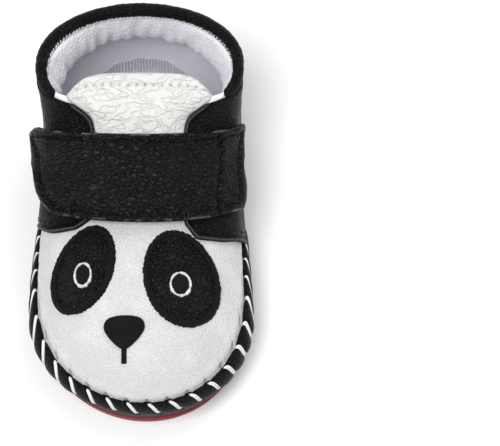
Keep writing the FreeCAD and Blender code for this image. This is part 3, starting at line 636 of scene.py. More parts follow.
RED_RUBBER = rubber("RedRubber", (0.23, 0.008, 0.011, 1.0), (0.14, 0.006, 0.008, 1.0))
BOARD = fabric("PressedBoard", grey(0.5, (1.0, 0.93, 0.8)), grey(0.4, (1.0, 0.9, 0.75)),
               loop=0.9, depth=0.05)


# ---- sole

def contour(height, lateral_end, medial_end, way, count=500):
    """The outline at a height from the lateral to the medial side, by the heel (0) or toe (1)."""
    there = form.point(height, np.linspace(lateral_end, way, count), LATERAL)
    back = form.point(height, np.linspace(way, medial_end, count), MEDIAL)
    return np.concatenate([there, back[1:]])


def all_round(height, count):
    """Evenly spaced points right round the form at a height."""
    line = contour(height, 0.0, 0.0, 1.0)
    return along(line, np.linspace(0, length_of(line), count, endpoint=False))


def closed_outline(height, outward, elevation, count=360):
    """Points right round the form, moved outward, at an elevation."""
    line = all_round(height, count)
    normals = form.normal(line)
    normals[:, 2] = 0
    line = line + normals / np.linalg.norm(normals, axis=1, keepdims=True) * outward
    line[:, 2] = elevation
    return line


SOLE_BEAD = 0.34            # radius of the moulded bead, its place outward and its elevation
SOLE_BEAD_OUT = 1.55
SOLE_BEAD_UP = 1.75


def make_sole():
    """The CAD outsole in rubber, with a moulded bead round its edge."""
    for node, material in (("outsole", RED_RUBBER), ("insole_board", BOARD)):
        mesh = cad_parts[node].data
        mesh.materials.clear()
        mesh.materials.append(material)
    lines = []
    for turn in circle(10):
        outward = SOLE_BEAD_OUT + SOLE_BEAD * math.cos(turn)
        lines.append(closed_outline(3.0, outward, SOLE_BEAD_UP + SOLE_BEAD * math.sin(turn)))
    rings = np.stack(lines, axis=1)
    pile = Pile().add(np.concatenate([rings, rings[:1]]), closed=True)
    build("sole_edge_bead", pile, RED_RUBBER)


SOCK_THICKNESS = 0.9
SOCK_INSET = 2.55           # from the form to the sock's raised edge
SOCK_CLIMB = 3.6            # how much higher the edge is at the heel
HEEL_CENTRE = 37.0


def make_insole():
    """Ribbed sock whose back edge climbs the heel wall."""
    edge = all_round(SEAT, 240)
    spine = np.stack([swing(edge[:, 1]), np.clip(edge[:, 1], -30, 34), edge[:, 2]], axis=1)
    floor = edge - form.normal(edge) * (SOCK_INSET + 0.75)
    rows = [spine + (floor - spine) * share for share in np.linspace(0, 1, 24)]
    for row in rows:
        row[:, 2] = SEAT - 0.1 + 0.08 * ripple(row, 14.0, 5)
    at_heel = smooth_step((18 - np.abs(edge[:, 0] + 2.5)) / 10) * (edge[:, 1] > 0)
    climb = 0.8 + SOCK_CLIMB * at_heel + 0.35 * ripple(edge, 3.5, 8)
    beyond = np.maximum(edge[:, 1] - HEEL_CENTRE, 0)
    for share in np.linspace(0, 1, 9)[1:]:
        wall = edge.copy()
        wall[:, 2] = SEAT + 0.4 + climb * share
        heel_line = form.outline(wall[:, 2])[3]
        stretch = (heel_line - HEEL_CENTRE) / (form.outline(edge[:, 2])[3] - HEEL_CENTRE)
        wall[:, 1] += beyond * (stretch - 1)
        rows.append(wall - form.normal(wall) * (SOCK_INSET + 0.55 * (1 - share) ** 2))
    lip = rows[-1] + form.normal(rows[-1]) * 0.1
    lip[:, 2] += 0.12
    grid = np.array(rows + [lip])
    under = grid[::-1].copy()
    under[..., 2] -= SOCK_THICKNESS
    pile = Pile().add(grid, closed=True)
    pile.add(under, closed=True)
    pile.add(np.array([grid[-1], under[0]]), closed=True)
    build("insole_sock", pile, RIBBED, replaced=("insole", "midsole_foam"))


# ---- rim: wall, beads and lacing

LEAD_SIDE = 1.0             # how far round the rim a lacing stitch leads at its lower end
LEAD_TOE = 4.4
BEAD_LOW = 8.4              # height of the beads' lower edge
BEAD_START = math.radians(-62)
BEAD_STOP = math.radians(112)
BEAD_CENTRE = 0.45          # distance of their middle from the form
BEAD_SIZE = 1.75
WALL_OUTER = 1.3
WALL_INNER = -0.15
STRAND_RADIUS = 0.31
STRAND_APART = 0.29         # half the distance between the two strands of a stitch

rim_start = form.around_at_length(RIM_HEIGHT, QUARTER_EDGES[LATERAL][0][1] - 0.2)
rim_stop = form.around_at_length(RIM_HEIGHT, QUARTER_EDGES[MEDIAL][0][1] - 0.2)
rim_turns = np.linspace(rim_start - 1, 1 - rim_stop, 1500)
rim_line = form.point(RIM_HEIGHT, 1 - np.abs(rim_turns), np.sign(rim_turns))
rim_travel = np.concatenate([[0], np.cumsum(np.linalg.norm(np.diff(rim_line, axis=0), axis=1))])
RIM_LENGTH = rim_travel[-1]
stitch_places = np.arange(2.8, RIM_LENGTH - 1.0, WHIP_PITCH)


def rim_point(travel, height):
    """A point of the form at a height, straight above or below a place along the rim."""
    turn = np.interp(travel, rim_travel, rim_turns)
    return form.point(height, 1 - np.abs(turn), side_of(turn))


def seam_height(travel):
    """The top of the beads: lower at the toe than at the sides."""
    y = np.interp(travel, rim_travel, rim_line[:, 1])
    return 15.0 + 2.4 * smooth_step((y + 56) / 36)


def lead(place):
    """How far a lacing stitch leads, which is more round the toe."""
    y = np.interp(place, rim_travel, rim_line[:, 1])
    return LEAD_SIDE + (LEAD_TOE - LEAD_SIDE) * smooth_step((-22 - y) / 26)


def pinch(travel, share):
    """1 under a lacing stitch and 0 between two; share runs up the bead from 0 to 1."""
    gaps = travel[..., None] - (stitch_places + lead(stitch_places) * (1 - share)[..., None])
    gap = np.abs(gaps).min(axis=-1)
    return 0.72 * dent(gap, 0.75) + 0.28 * dent(gap, 2.0)


def bead_point(travel, angle, squeeze, extra=0.0):
    """A point on the puffed rim; squeeze from 0 to 1 draws it in."""
    top = seam_height(travel)
    middle = (BEAD_LOW + top) / 2
    half = (top - BEAD_LOW) / 2 * (1 - 0.16 * squeeze * (np.sin(angle) > 0))
    base = rim_point(travel, middle + half * np.sin(angle))
    reach = BEAD_SIZE * (1 - 0.58 * squeeze)
    return base + form.normal(base) * (BEAD_CENTRE + reach * np.cos(angle) + extra)[..., None]


def make_side_wall():
    """Black wall round the toe, gathered into beads between the lacing stitches."""
    travel = np.linspace(0, RIM_LENGTH, 620)
    rows = []
    for height in np.linspace(SOLE_TOP, BEAD_LOW + 0.4, 8):
        base = rim_point(travel, np.full_like(travel, height))
        reach = WALL_OUTER + 0.12 * ripple(base, 9.0, 3)
        rows.append(base + form.normal(base) * reach[:, None])
    for angle in np.linspace(BEAD_START, BEAD_STOP, 22):
        share = np.full_like(travel, (angle - BEAD_START) / (BEAD_STOP - BEAD_START))
        rows.append(bead_point(travel, np.full_like(travel, angle), pinch(travel, share)))
    for height in np.linspace(15.0, SOLE_TOP, 6):
        base = rim_point(travel, np.full_like(travel, height))
        rows.append(base + form.normal(base) * WALL_INNER)
    grid = np.array(rows)
    pile = Pile().add(np.concatenate([grid, grid[:1]]))
    for column in (0, -1):
        edge = grid[:, column]
        centre = np.repeat(edge.mean(axis=0)[None], len(edge), axis=0)
        pile.add(np.array([edge, centre]))
    build("side_wall_beads", pile, BLACK_LEATHER, replaced=("side_wall",))


def make_lacing():
    """Two thin white strands in every valley between the beads."""
    pile = Pile()
    random = np.random.default_rng(4)
    count = 17
    angles = np.linspace(math.radians(-16), BEAD_STOP - 0.16, count)
    share = (angles - BEAD_START) / (BEAD_STOP - BEAD_START)
    dip = 1 - tapered(count, 1.0, 3.0)
    for place in stitch_places:
        slack = random.uniform(-0.12, 0.12)
        for strand in (-STRAND_APART, STRAND_APART):
            cross = strand * np.cos(np.linspace(-0.8, 0.8, count) + slack)
            travel = np.clip(place + lead(place) * (1 - share) + cross, 0.1, RIM_LENGTH - 0.1)
            path = bead_point(travel, angles, np.full(count, 0.9), 0.30 - 0.75 * dip)
            pile.add(tube(path, tapered(count, STRAND_RADIUS, 2), 9, flat=0.85), closed=True)
    build("rim_lacing", pile, WHITE_THREAD, replaced=("whip_stitches",))


# ---- upper

VAMP_INNER = -1.3
VAMP_OUTER = -0.1
QUARTER_INNER = 0.1
QUARTER_OUTER = 1.3
LINING_OUTER = -1.5
UNDER_ROLL = 1.1            # how far the quarters reach up under the collar roll
PLEAT_DEPTH = 0.32          # of the vamp's folds at the lacing, and of the holes in them
HOLE_DEPTH = 0.40


def contours(heights, front, way):
    """Outlines at many heights that all stop at a front edge."""
    return [contour(height, front(height), front(height), way) for height in heights]


def vamp_front(height):
    return form.around_at_length(height, VAMP_END)


def make_vamp():
    """White forefoot, puckered where the lacing goes through it."""
    grid = rows_along(contours(graded_heights(SEAT, VAMP_TOP, 140), vamp_front, 1.0), 1.0, 4, 310)
    relief = 0.06 * ripple(grid, 11.0, 11)
    painted_light_masks = np.zeros(grid.shape[:-1])
    rise = np.linspace(0, 1, 12)
    for place in stitch_places:
        low = float(seam_height(place)) - 0.5
        pleat = rim_point(place - 0.5 * rise, low + 2.6 * rise)
        hole = np.linalg.norm(grid - pleat[2], axis=-1)
        relief -= PLEAT_DEPTH * dent(nearest(grid, pleat), 0.5) + HOLE_DEPTH * dent(hole, 0.9)
        # Painted shade: the lower part of each pleat is darkened.
        painted_light_masks = np.maximum(painted_light_masks, 0.8 * dent(nearest(grid, pleat[:7]), 0.26))
    travel = np.linspace(0, RIM_LENGTH, 700)
    seam = rim_point(travel, seam_height(travel))
    relief += 0.35 * dent(nearest(grid, seam) - 2.0, 1.5)
    pile = shell(grid, VAMP_INNER, VAMP_OUTER + relief, painted_light_masks=painted_light_masks)
    build("vamp_leather", pile, WHITE_LEATHER, replaced=("vamp",))


def nearer(first, second, blend=0.012):
    """The smaller of two values, with the change-over rounded off."""
    return -blend * math.log(math.exp(-first / blend) + math.exp(-second / blend))


def quarter_front(side):
    edge = monotone_curve(*zip(*QUARTER_EDGES[side]))

    def front(height):
        by_length = form.around_at_length(height, float(edge(height)))
        return nearer(by_length, float(form.around_at_width(height, float(throat_edge(height)))))

    return front


def make_quarters():
    """Black side and heel panels with a rolled front edge and a sewn line beside it."""
    for side, name in SIDE_NAMES.items():
        front = quarter_front(side)
        heights = graded_heights(SOLE_TOP, QUARTER_TOP, 210)
        lines = [form.point(height, np.linspace(front(height), 0.002, 500), side)
                 for height in heights]
        grid = rows_along(lines, 2.8, 15, 90)
        behind = smooth_step((grid[..., 1] - 28) / 11)
        grid[..., 2] += UNDER_ROLL * smooth_step((grid[..., 2] - 41) / 2.2) * behind
        gap = nearest(grid, evenly(grid[:, 0], 900))
        relief = 0.30 * dent(gap - 0.7, 0.6) - 0.42 * dent(gap - 1.75, 0.32)
        relief += 0.10 * ripple(grid, 13.0, 21) + 0.05 * ripple(grid, 4.5, 22)
        relief -= 0.45 * dent(nearest(grid, grid[:, -1]), 0.5)
        # Painted highlight: a paler line along the crest of the rolled front edge.
        wear_and_highlight = 0.5 * dent(gap - 0.55, 0.22)
        pile = shell(grid, QUARTER_INNER, QUARTER_OUTER + relief, 0.7, painted_light_masks=wear_and_highlight)
        replaced = [f"quarter_{name}"]
        if side == LATERAL:
            replaced.append("heel_counter")
        build(f"quarter_leather_{name}", pile, BLACK_LEATHER, replaced=replaced)


def stitch_row(pile, line, lift, stitch=1.7, gap=0.7, radius=0.24):
    """Short threads along a line on the form."""
    length = length_of(line)
    for start in np.arange(0.4, length - stitch, stitch + gap):
        path = along(line, start + np.linspace(0, stitch, 7))
        rise = lift(path) if callable(lift) else lift
        bow = radius * (0.3 + 0.7 * np.sin(np.linspace(0, np.pi, 7)))
        path = path + form.normal(path) * (rise + bow)[:, None]
        pile.add(tube(path, tapered(7, radius, 2), 6), closed=True)


def make_quarter_stitching():
    """A sewn line beside the quarters' front edges and on both sides of the heel seam."""
    pile = Pile()
    for side in (LATERAL, MEDIAL):
        front = quarter_front(side)
        heights = np.linspace(RIM_HEIGHT + 1, QUARTER_TOP - 0.8, 400)
        seam = np.array([form.point(height, front(height) - 0.018, side) for height in heights])
        plane = seam[:, 1] + STRAP_SLANT * seam[:, 2]
        for run in (seam[plane < STRAP_LOW - 1.0], seam[plane > STRAP_HIGH + 1.0]):
            stitch_row(pile, run, 1.05)
        back = form.point(np.linspace(SOLE_TOP + 1, QUARTER_TOP - 1, 200), 0.033, side)
        stitch_row(pile, back, 1.28)
    build("quarter_seams", pile, BLACK_THREAD, replaced=("quarter_stitching",))


def make_linings():
    """Smooth cloth inside the heel and the forefoot."""
    def front(height):
        by_length = form.around_at_length(height, VAMP_END + 0.4)
        throat = float(form.around_at_width(height, float(throat_edge(height)) + 1.5))
        return nearer(by_length, throat)

    heights = graded_heights(SEAT, BAND_BOTTOM + 0.6, 90)
    grid = rows_along(contours(heights, front, 0.0), 1.2, 6, 200)
    folds = 0.16 * ripple(grid, 17.0, 31, (1, 1, 0.4)) + 0.05 * ripple(grid, 5.0, 32)
    pile = shell(grid, LINING_OUTER - 0.85 - folds, LINING_OUTER)
    nodes = ("quarter_lining_lateral", "quarter_lining_medial")
    build("heel_lining", pile, LINING, replaced=nodes)

    grid = rows_along(contours(graded_heights(SEAT, VAMP_TOP, 60), vamp_front, 1.0), 1.0, 4, 110)
    pile = shell(grid, LINING_OUTER - 0.8, LINING_OUTER)
    build("forefoot_lining_cloth", pile, LINING, replaced=("forefoot_lining",))


# ---- collar

COLLAR_INSET = 0.25         # from the form to the middle of the roll
COLLAR_RADIUS = 2.05        # at the heel, and how much less it is at the two ends
COLLAR_THINNING = 0.4
BAND_SAG = 2.4              # how much lower the band hangs at the heel
BAND_PUFF = 2.3
NUB_PITCH = 1.15            # between the overlocking's loops


def collar_line(count=240):
    """The middle of the collar roll, which dips over the quarters' corners at its two ends."""
    turns = np.linspace(-1, 1, 900)
    share = np.abs(turns)
    height = COLLAR_HEIGHT - COLLAR_DIP * smooth_step((share - 0.80) / 0.20)
    around = share * form.around_at_width(COLLAR_HEIGHT - COLLAR_DIP, COLLAR_END)
    line = evenly(form.point(height, around, side_of(turns)), count)
    return line - form.normal(line) * COLLAR_INSET, np.abs(np.linspace(-1, 1, count))


def make_collar():
    """Padded leather roll round the ankle opening."""
    line, share = collar_line()
    radius = COLLAR_RADIUS - COLLAR_THINNING * smooth_step(share)
    radius = radius * (0.25 + 0.75 * crown(1 - share, 0.045))
    travel = np.linspace(0, length_of(line), len(line))[:, None]
    turns = circle(28)
    place = np.stack(np.broadcast_arrays(travel, 2 * np.cos(turns), 2 * np.sin(turns)), axis=-1)
    wrinkles = 0.075 * ripple(place, 2.6, 41, (1.0, 0.25, 0.25)) + 0.05 * ripple(place, 7.0, 42)
    rings = tube(line, radius, 28, swell=wrinkles)
    pile = Pile().add(rings, closed=True)
    for ring in (rings[:1], rings[-1:]):
        centre = np.repeat(ring.mean(axis=1, keepdims=True), ring.shape[1], axis=1)
        pile.add(np.concatenate([ring, centre]), closed=True)
    piece = build("collar_roll", pile, BLACK_LEATHER,
                  replaced=("collar_cover", "collar_core"))


def make_collar_band():
    """Puffed terry band inside the opening, with the overlocking under the roll."""
    shares = np.linspace(0, 1, 40)
    turns = np.linspace(-1, 1, 900)
    low = BAND_BOTTOM - BAND_SAG * smooth_step((0.75 - np.abs(turns)) / 0.3)
    lines = []
    for share in shares:
        height = low + (QUARTER_TOP + 0.9 - low) * share
        front = form.around_at_width(height[0], float(throat_edge(height[0])) + 2.0)
        lines.append(form.point(height, np.abs(turns) * front, side_of(turns)))
    grid = rows_along(lines, 1.5, 6, 320)
    share = shares[:, None]
    puff = BAND_PUFF * np.sin(np.pi * share ** 0.62) ** 0.75 + 0.9 * (1 - share)
    puff = puff * (1 - 0.5 * smooth_step((np.abs(grid[..., 1] - 60) - 26) / 8))
    gathers = 0.13 * ripple(grid, 4.5, 51, (1, 1, 0.25)) + 0.10 * ripple(grid, 11.0, 52)
    pile = shell(grid, -1.75 - puff * (1 + gathers), -0.25, 0.9)
    piece = build("collar_band", pile, TERRY,
                  replaced=("collar_lining", "collar_padding"))

    line, _ = collar_line(600)
    inner = line + form.normal(line) * -1.75 - frames(line)[1] * 0.95
    pile = Pile()
    random = np.random.default_rng(6)
    for start in np.arange(3.0, length_of(inner) - 4.0, NUB_PITCH):
        lean = random.uniform(0.35, 1.0)
        ends = along(inner, np.array([start, start + lean]))
        rise = random.uniform(0.45, 0.95)
        outward = form.normal(ends)
        path = np.array([ends[0] - outward[0] * 0.15 - (0, 0, 0.45),
                         ends.mean(axis=0) - outward[0] * 0.42,
                         ends[1] - outward[1] * 0.1 + (0, 0, rise)])
        path = evenly(path, 7)
        pile.add(tube(path, tapered(7, 0.20, 2), 6, up=(0.3, 0.2, 1.0)), closed=True)
    build("collar_overlock", pile, WHITE_THREAD)


# ---- tongue

def tongue_place(height, across):
    share = np.clip((height - TONGUE_LOW) / (TONGUE_TOP - TONGUE_LOW), 0, 1)
    x = across * tongue_edge(height)
    fall = TONGUE_CROWN * across ** 2 + TONGUE_CORNER_DROP * across ** 6
    dropped = height - share ** 4 * fall
    return form.point(dropped, form.around_at_width(dropped, np.abs(x)), side_of(x))


def make_tongue():
    """Padded white tongue with a sewn hem, fixed under the vamp at its lower end."""
    heights = graded_heights(31.2, TONGUE_TOP, 90)
    heights = np.concatenate([heights[:-1], TONGUE_TOP - np.array([0.12, 0.05, 0.0])])
    shares = crowded(2.0, 0.12, 6, 90) - 1
    grid = tongue_place(heights[:, None], shares[None, :])
    tucked = 1.35 * (1 - smooth_step((grid[..., 2] - 31.8) / 2.4))
    hem = tongue_place(np.full(300, TONGUE_TOP - 1.15), np.linspace(-0.9, 0.9, 300))
    gap = nearest(grid, hem)
    relief = -0.34 * dent(gap, 0.45) + 0.26 * ripple(grid, 13.0, 61) + 0.12 * ripple(grid, 6.0, 62)
    painted_light_masks = np.zeros(grid.shape[:-1])
    for hole in along(hem, np.arange(1.0, length_of(hem), 2.5)):
        near = np.linalg.norm(grid - hole, axis=-1)
        relief -= 0.5 * dent(near, 0.38)
        # Painted shade: each stitch hole of the hem is darkened.
        painted_light_masks = np.maximum(painted_light_masks, 0.75 * dent(near, 0.34))
    edge_gap = nearest(grid, rim_of(grid, "tlr"))
    puff = 0.45 * smooth_step(edge_gap / 4.0)
    pile = shell(grid, -2.9 - tucked, -0.35 - tucked + puff + relief, 1.1, painted_light_masks=painted_light_masks)
    nodes = ("tongue_leather", "tongue_foam", "tongue_lining", "tongue_stitching")
    piece = build("tongue_pad", pile, TONGUE_LEATHER, body=None, replaced=nodes)
    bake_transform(piece)


# ---- strap

STRAP_HUB = 22.0            # height of the line that the strap's angles turn about
STRAP_LIFT = 1.6            # from the form to the underside at the sewn end
STRAP_RISE = 1.3            # how much more that is at the free end
LEATHER_UNDER = 0.55        # the leather's two faces, from the strap's underside
LEATHER_OVER = 1.75
STITCH_LEVEL = 1.3
ANCHOR_OFFSET = 1.8         # from the hinge to the sewn line beside it
CLOSURE_INSET = 8.0         # from the free end to the tapes, in degrees


def strap_point(plane, angle):
    """A point of the form on one of the strap's slanting cuts, seen at an angle."""
    plane, angle = np.broadcast_arrays(plane, angle)
    level = np.zeros_like(plane)
    start = np.stack([level, plane - STRAP_SLANT * STRAP_HUB, level + STRAP_HUB], axis=-1)
    turn = np.radians(angle)
    direction = np.stack([np.cos(turn), -STRAP_SLANT * np.sin(turn), np.sin(turn)], axis=-1)
    return form.along_ray(start, direction)


def strap_lift(points):
    share = smooth_step((28.5 - points[..., 0]) / 57.0)
    return STRAP_LIFT + STRAP_RISE * share


def strap_rows(start_of, end_of, low, high, rows, edge, columns):
    """Rows along the strap between two slanting planes, crowded near its edges."""
    lines = []
    for plane in low + crowded(high - low, edge * 1.6, 9, rows):
        share = (plane - low) / (high - low)
        lines.append(strap_point(plane, np.linspace(start_of(plane), end_of(plane, share), 260)))
    return rows_along(lines, edge, 9, columns)


def strap_share(plane):
    """0 on the strap's lower edge and 1 on its upper edge."""
    return (plane - STRAP_LOW) / (STRAP_HIGH - STRAP_LOW)


def end_line(plane):
    """The direction of the free end on one slanting cut, before its corners are rounded."""
    return STRAP_END_ANGLE - STRAP_END_LEAN * strap_share(plane)


def free_end(plane, share, inset=0.0):
    return end_line(plane) - 7.0 * np.abs(2 * share - 1) ** 4 - inset


def tail_end(plane):
    """The direction of the sewn end, with its corners a little rounded."""
    share = strap_share(plane)
    return STRAP_TAIL_ANGLE + STRAP_TAIL_LEAN * share + 2.5 * abs(2 * share - 1) ** 6


def closure_end(plane, share):
    return end_line(plane) - CLOSURE_INSET


def closure_start(plane):
    """Where the hook and loop tapes begin on one slanting cut."""
    angles = np.linspace(90, 175, 600)
    return angles[np.argmin(np.abs(strap_point(plane, angles)[:, 0] + CLOSURE_REACH))]


def hinge_line():
    """The sewn line where the strap starts to lift, on the strap's slanting cuts."""
    planes = np.linspace(STRAP_LOW + 1, STRAP_HIGH - 1, 120)
    angles = np.linspace(5, 90, 400)
    line = []
    for plane in planes:
        points = strap_point(plane, angles)
        line.append(points[np.argmin(np.abs(points[:, 0] - STRAP_HINGE - ANCHOR_OFFSET))])
    return np.array(line)


def on_strap(path):
    return strap_lift(path) + STITCH_LEVEL


def make_strap():
    """One leather strap from its sewn end over the foot, with a rolled border."""
    grid = strap_rows(tail_end, free_end, STRAP_LOW, STRAP_HIGH, 62, 1.0, 260)
    rim = nearest(grid, rim_of(grid))
    anchor = hinge_line()
    fold = nearest(grid, anchor)
    relief = 0.28 * dent(rim - 1.0, 0.8) - 0.42 * dent(rim - 2.3, 0.42)
    relief += 0.22 * smooth_step((rim - 2.6) / 5.0) - 0.5 * dent(fold, 0.55)
    relief += 0.16 * ripple(grid, 12.0, 71) + 0.07 * ripple(grid, 4.0, 72)
    relief += 1.5 * smooth_step((-grid[..., 0] - 17) / 11)
    relief += 0.4 * smooth_step((grid[..., 0] - 24) / 4)
    lift = strap_lift(grid)
    # Painted highlight: paler patches along the strap's rounded border edge.
    wear_and_highlight = 0.8 * dent(rim - 0.35, 0.22) * smooth_step(ripple(grid, 5.0, 73) * 1.5)
    pile = shell(grid, lift + LEATHER_UNDER, lift + LEATHER_OVER + relief, 0.8, painted_light_masks=wear_and_highlight)
    leather_piece = build("strap_leather_band", pile, STRAP_LEATHER, body=None,
                          replaced=("strap_leather", "strap_tail"))
    back = strap_rows(lambda plane: tail_end(plane) + 0.6,
                      lambda plane, share: free_end(plane, share, 1.2),
                      STRAP_LOW + 0.7, STRAP_HIGH - 0.7, 20, 0.5, 120)
    lift = strap_lift(back)
    backing = build("strap_backing_cloth", shell(back, lift, lift + 0.6, 0.3), BLACK_FABRIC,
                    body=None, replaced=("strap_backing", "strap_tail_backing"))
    for piece in (leather_piece, backing):
        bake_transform(piece)

    sewn = Pile()
    for plane in (STRAP_LOW + 3.3, STRAP_HIGH - 3.3):
        turns = np.linspace(46, end_line(plane) - 9.0, 500)
        stitch_row(sewn, strap_point(plane, turns), on_strap)
    share = np.linspace(0.12, 0.88, 300)
    planes = STRAP_LOW + (STRAP_HIGH - STRAP_LOW) * share
    stitch_row(sewn, strap_point(planes, free_end(planes, share, 4.4)), on_strap)
    build("strap_sewing", sewn, BLACK_THREAD, "strap", ("strap_stitching",))
    fixed = Pile()
    stitch_row(fixed, anchor[3:-3], lambda path: on_strap(path) - 0.15)
    build("anchor_sewing", fixed, BLACK_THREAD, replaced=("anchor_stitching",))


def make_tapes():
    """Hook tape under the strap and loop tape on the quarter."""
    hooks = strap_rows(closure_start, closure_end, STRAP_LOW + 5, STRAP_HIGH - 5, 20, 0.5, 30)
    lift = strap_lift(hooks)
    pile = shell(hooks, lift - 0.55 - 0.06 * ripple(hooks, 0.9, 81), lift - 0.05, 0.3)
    build("hook_tape", pile, HOOK_TAPE, "strap", ("hook_patch",))
    loops = strap_rows(closure_start, closure_end, STRAP_LOW + 4, STRAP_HIGH - 4, 24, 0.5, 36)
    pile = shell(loops, QUARTER_OUTER + 0.15, QUARTER_OUTER + 0.7 + 0.06 * ripple(loops, 0.9, 82), 0.3)
    build("loop_tape", pile, HOOK_TAPE, "shoe", ("loop_patch",))


# ---- face

THREAD_PITCH = 0.45
PATCH_HEIGHT = 0.8          # of the leather patches above the form
BORDER_HEIGHT = 1.0
RING_HEIGHT = 1.30
PUPIL_HEIGHT = 1.25
NOSE_HEIGHT = 1.15
MOUTH_HEIGHT = 0.6


def egg(centre, half_width, half_length, lean=0.0, taper=0.0, shrink=0.0, count=96):
    """Points round an egg outline on the ground, drawn in by shrink."""
    turn = math.radians(lean)
    angle = circle(count)
    across = (half_width - shrink) * np.sin(angle) * (1 + taper * np.cos(angle))
    length = (half_length - shrink) * np.cos(angle)
    x = centre[0] + across * math.cos(turn) + length * math.sin(turn)
    y = centre[1] - across * math.sin(turn) + length * math.cos(turn)
    return np.stack([x, y], axis=1)


def on_vamp(places, lift):
    points = form.above(places)
    return points + form.normal(points) * np.asarray(lift)[..., None]


def cushion(outline, edge_lift, top_lift, relief=None, rings=18):
    """A low dome over a closed outline on the ground."""
    centre = outline.mean(axis=0)
    shares = np.sin(np.linspace(0, np.pi / 2, rings))
    places = centre + (outline - centre) * shares[:, None, None]
    lift = edge_lift + (top_lift - edge_lift) * crown(1 - shares, 1.0)[:, None] * np.ones(len(outline))
    if relief is not None:
        lift = lift + relief(places) * crown(1 - shares, 0.3)[:, None]
    grid = on_vamp(places, lift)
    foot = on_vamp(outline, np.full(len(outline), -0.35))
    return Pile().add(np.concatenate([grid, foot[None]]), closed=True)


def satin_ring(inner, outer, height, threads, ridge, ragged, seed):
    """Satin stitch between two outlines: one ridge for each thread across the band."""
    random = np.random.default_rng(seed)
    count = len(outer)
    phase = np.linspace(0, threads * np.pi, count, endpoint=False)
    number = (phase / np.pi).astype(int)
    reach = random.uniform(-ragged, ragged, threads + 1)[number]
    width = np.linalg.norm(outer - inner, axis=1)
    shares = (1 - np.cos(np.linspace(0, np.pi, 11))) / 2
    grid = []
    for share in shares:
        place = inner + (outer - inner) * (share + (2 * share - 1) * reach / width)[:, None]
        arch = math.sin(math.pi * share) ** 0.6 if 0 < share < 1 else 0.0
        threads_height = ridge * np.abs(np.sin(phase)) * arch
        grid.append(on_vamp(place, -0.25 + (height + 0.25) * arch + threads_height))
    return Pile().add(np.array(grid), closed=True)


def make_eyes():
    """Leather eye patches with satin borders, and embroidered eyes on them."""
    def dimples(places):
        return 0.10 * ripple(level_points(places), 6.0, 91)

    for side, name in SIDE_NAMES.items():
        patch = EYE_PATCHES[side]
        pile = cushion(egg(*patch, shrink=BORDER_WIDTH - 0.5), 0.35, PATCH_HEIGHT, dimples)
        build(f"eye_leather_{name}", pile, PATCH_LEATHER,
              replaced=(f"eye_patch_{name}",))
        pile = satin_ring(egg(*patch, shrink=BORDER_WIDTH, count=1400), egg(*patch, count=1400),
                          BORDER_HEIGHT, 150, 0.10, 0.16, 92 + side)
        build(f"eye_satin_{name}", pile, BLACK_THREAD,
              replaced=(f"eye_border_{name}",))
        ring = EYE_RINGS[side]
        pile = satin_ring(egg(*ring, shrink=EYE_RING_WIDTH, count=400), egg(*ring, count=400),
                          RING_HEIGHT, 22, 0.30, 0.20, 95 + side)
        build(f"eye_white_{name}", pile, WHITE_THREAD,
              replaced=(f"eye_ring_{name}",))
        pile = cushion(egg(*ring, shrink=EYE_RING_WIDTH - 0.1), PATCH_HEIGHT, PUPIL_HEIGHT,
                       filled_stitches)
        build(f"pupil_fill_{name}", pile, BLACK_THREAD,
              replaced=(f"pupil_{name}",))


def level_points(places):
    return np.concatenate([places, np.zeros_like(places[..., :1])], axis=-1)


def filled_stitches(places):
    """Rows of level threads with uneven ends."""
    rows = np.abs(np.sin(np.pi * places[..., 1] / THREAD_PITCH))
    return 0.12 * rows + 0.10 * ripple(level_points(places), 1.3, 97)


def closed_curve(corners, count):
    """A smooth closed curve through corners."""
    corners = np.array(corners)
    places = []
    for index in range(len(corners)):
        before, start, end, after = (corners[(index + step) % len(corners)] for step in (-1, 0, 1, 2))
        share = np.linspace(0, 1, count // len(corners), endpoint=False)[:, None]
        bend = (2 * before - 5 * start + 4 * end - after) * share ** 2
        twist = (3 * start - before - 3 * end + after) * share ** 3
        places.append(0.5 * (2 * start + (end - before) * share + bend + twist))
    return np.concatenate(places)


def make_nose():
    """Embroidered nose and the short line under it."""
    outline = closed_curve(NOSE_OUTLINE, 360)
    centre = outline.mean(axis=0)
    step = np.arange(len(outline))
    frayed = 1 + 0.012 * np.sin(step * 2.1) + 0.010 * np.sin(step * 0.77)
    outline = centre + (outline - centre) * frayed[:, None]
    build("nose_fill", cushion(outline, 0.55, NOSE_HEIGHT, filled_stitches, 34), BLACK_THREAD,
          replaced=("nose",))
    width, length = MOUTH_SIZE
    x, y = MOUTH_TOP
    corner = np.stack([np.cos(circle(120)), np.sin(circle(120))], axis=1)
    square = np.sign(corner) * np.abs(corner) ** 0.18
    outline = np.array([x, y - length / 2]) + square * (width / 2, length / 2)
    build("mouth_line", cushion(outline, 0.25, MOUTH_HEIGHT, filled_stitches, 14), BLACK_THREAD,
          replaced=("mouth_stitch",))


# ---- stage

CAMERA_PLACE = (0.0324, -0.2350, 0.5185)
CAMERA_AIM = (0.0324, -0.0026, 0.020)
CAMERA_LENS = 133.06
FLOOR_REACH = 3.0
WORLD_STRENGTH = 0.50
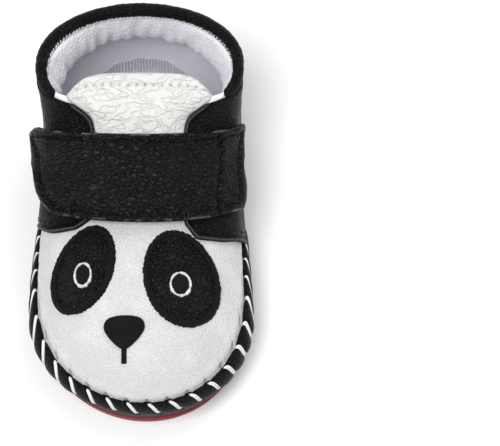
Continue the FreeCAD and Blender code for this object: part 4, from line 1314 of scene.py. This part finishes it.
# Place in metres, width in metres and power in watts of each lamp.
LAMPS = {
    "key": ((-0.18, -0.30, 0.80), 0.5, 5.6),
    "back": ((0.30, 0.45, 0.70), 0.5, 2.4),
}


def aim(obj, target):
    """Turns an object's -Z axis to a target."""
    direction = Vector(target) - obj.location
    obj.rotation_euler = direction.to_track_quat("-Z", "Y").to_euler()


def make_floor():
    mesh = bpy.data.meshes.new("floor")
    corners = [(-1, -1), (1, -1), (1, 1), (-1, 1)]
    mesh.from_pydata([(x * FLOOR_REACH, y * FLOOR_REACH, 0) for x, y in corners], [], [(0, 1, 2, 3)])
    recipe = Recipe("PaleFloor", Roughness=0.7, Specular_IOR_Level=0.2)
    shade = recipe.noise(0.004)
    mesh.materials.append(recipe.finish(recipe.blend(shade, grey(0.93), grey(0.95))))
    floor = bpy.data.objects.new("floor", mesh)
    bpy.context.scene.collection.objects.link(floor)


def add_light(name, place, size, power):
    light = bpy.data.lights.new(name, "AREA")
    light.shape = "DISK"
    light.size = size
    light.energy = power
    lamp = bpy.data.objects.new(name, light)
    lamp.location = place
    bpy.context.scene.collection.objects.link(lamp)
    aim(lamp, (0.0, 0.0, 0.02))


def make_stage():
    """Floor, soft studio light and the camera."""
    make_floor()
    world = bpy.data.worlds.new("Studio")
    world.use_nodes = True
    background = world.node_tree.nodes["Background"]
    background.inputs["Color"].default_value = grey(1.0)
    background.inputs["Strength"].default_value = WORLD_STRENGTH
    bpy.context.scene.world = world
    bpy.context.scene.view_settings.view_transform = "Standard"
    for name, (place, size, power) in LAMPS.items():
        add_light(name, place, size, power)
    camera = bpy.data.objects.new("camera", bpy.data.cameras.new("camera"))
    camera.location = CAMERA_PLACE
    camera.data.lens = CAMERA_LENS
    camera.data.sensor_width = 36.0
    camera.data.clip_start = 0.01
    aim(camera, CAMERA_AIM)
    bpy.context.scene.collection.objects.link(camera)
    bpy.context.scene.camera = camera


make_stage()
make_sole()
make_insole()
make_side_wall()
make_lacing()
make_vamp()
make_quarters()
make_quarter_stitching()
make_linings()
make_collar()
make_collar_band()
make_tongue()
make_strap()
make_tapes()
make_eyes()
make_nose()
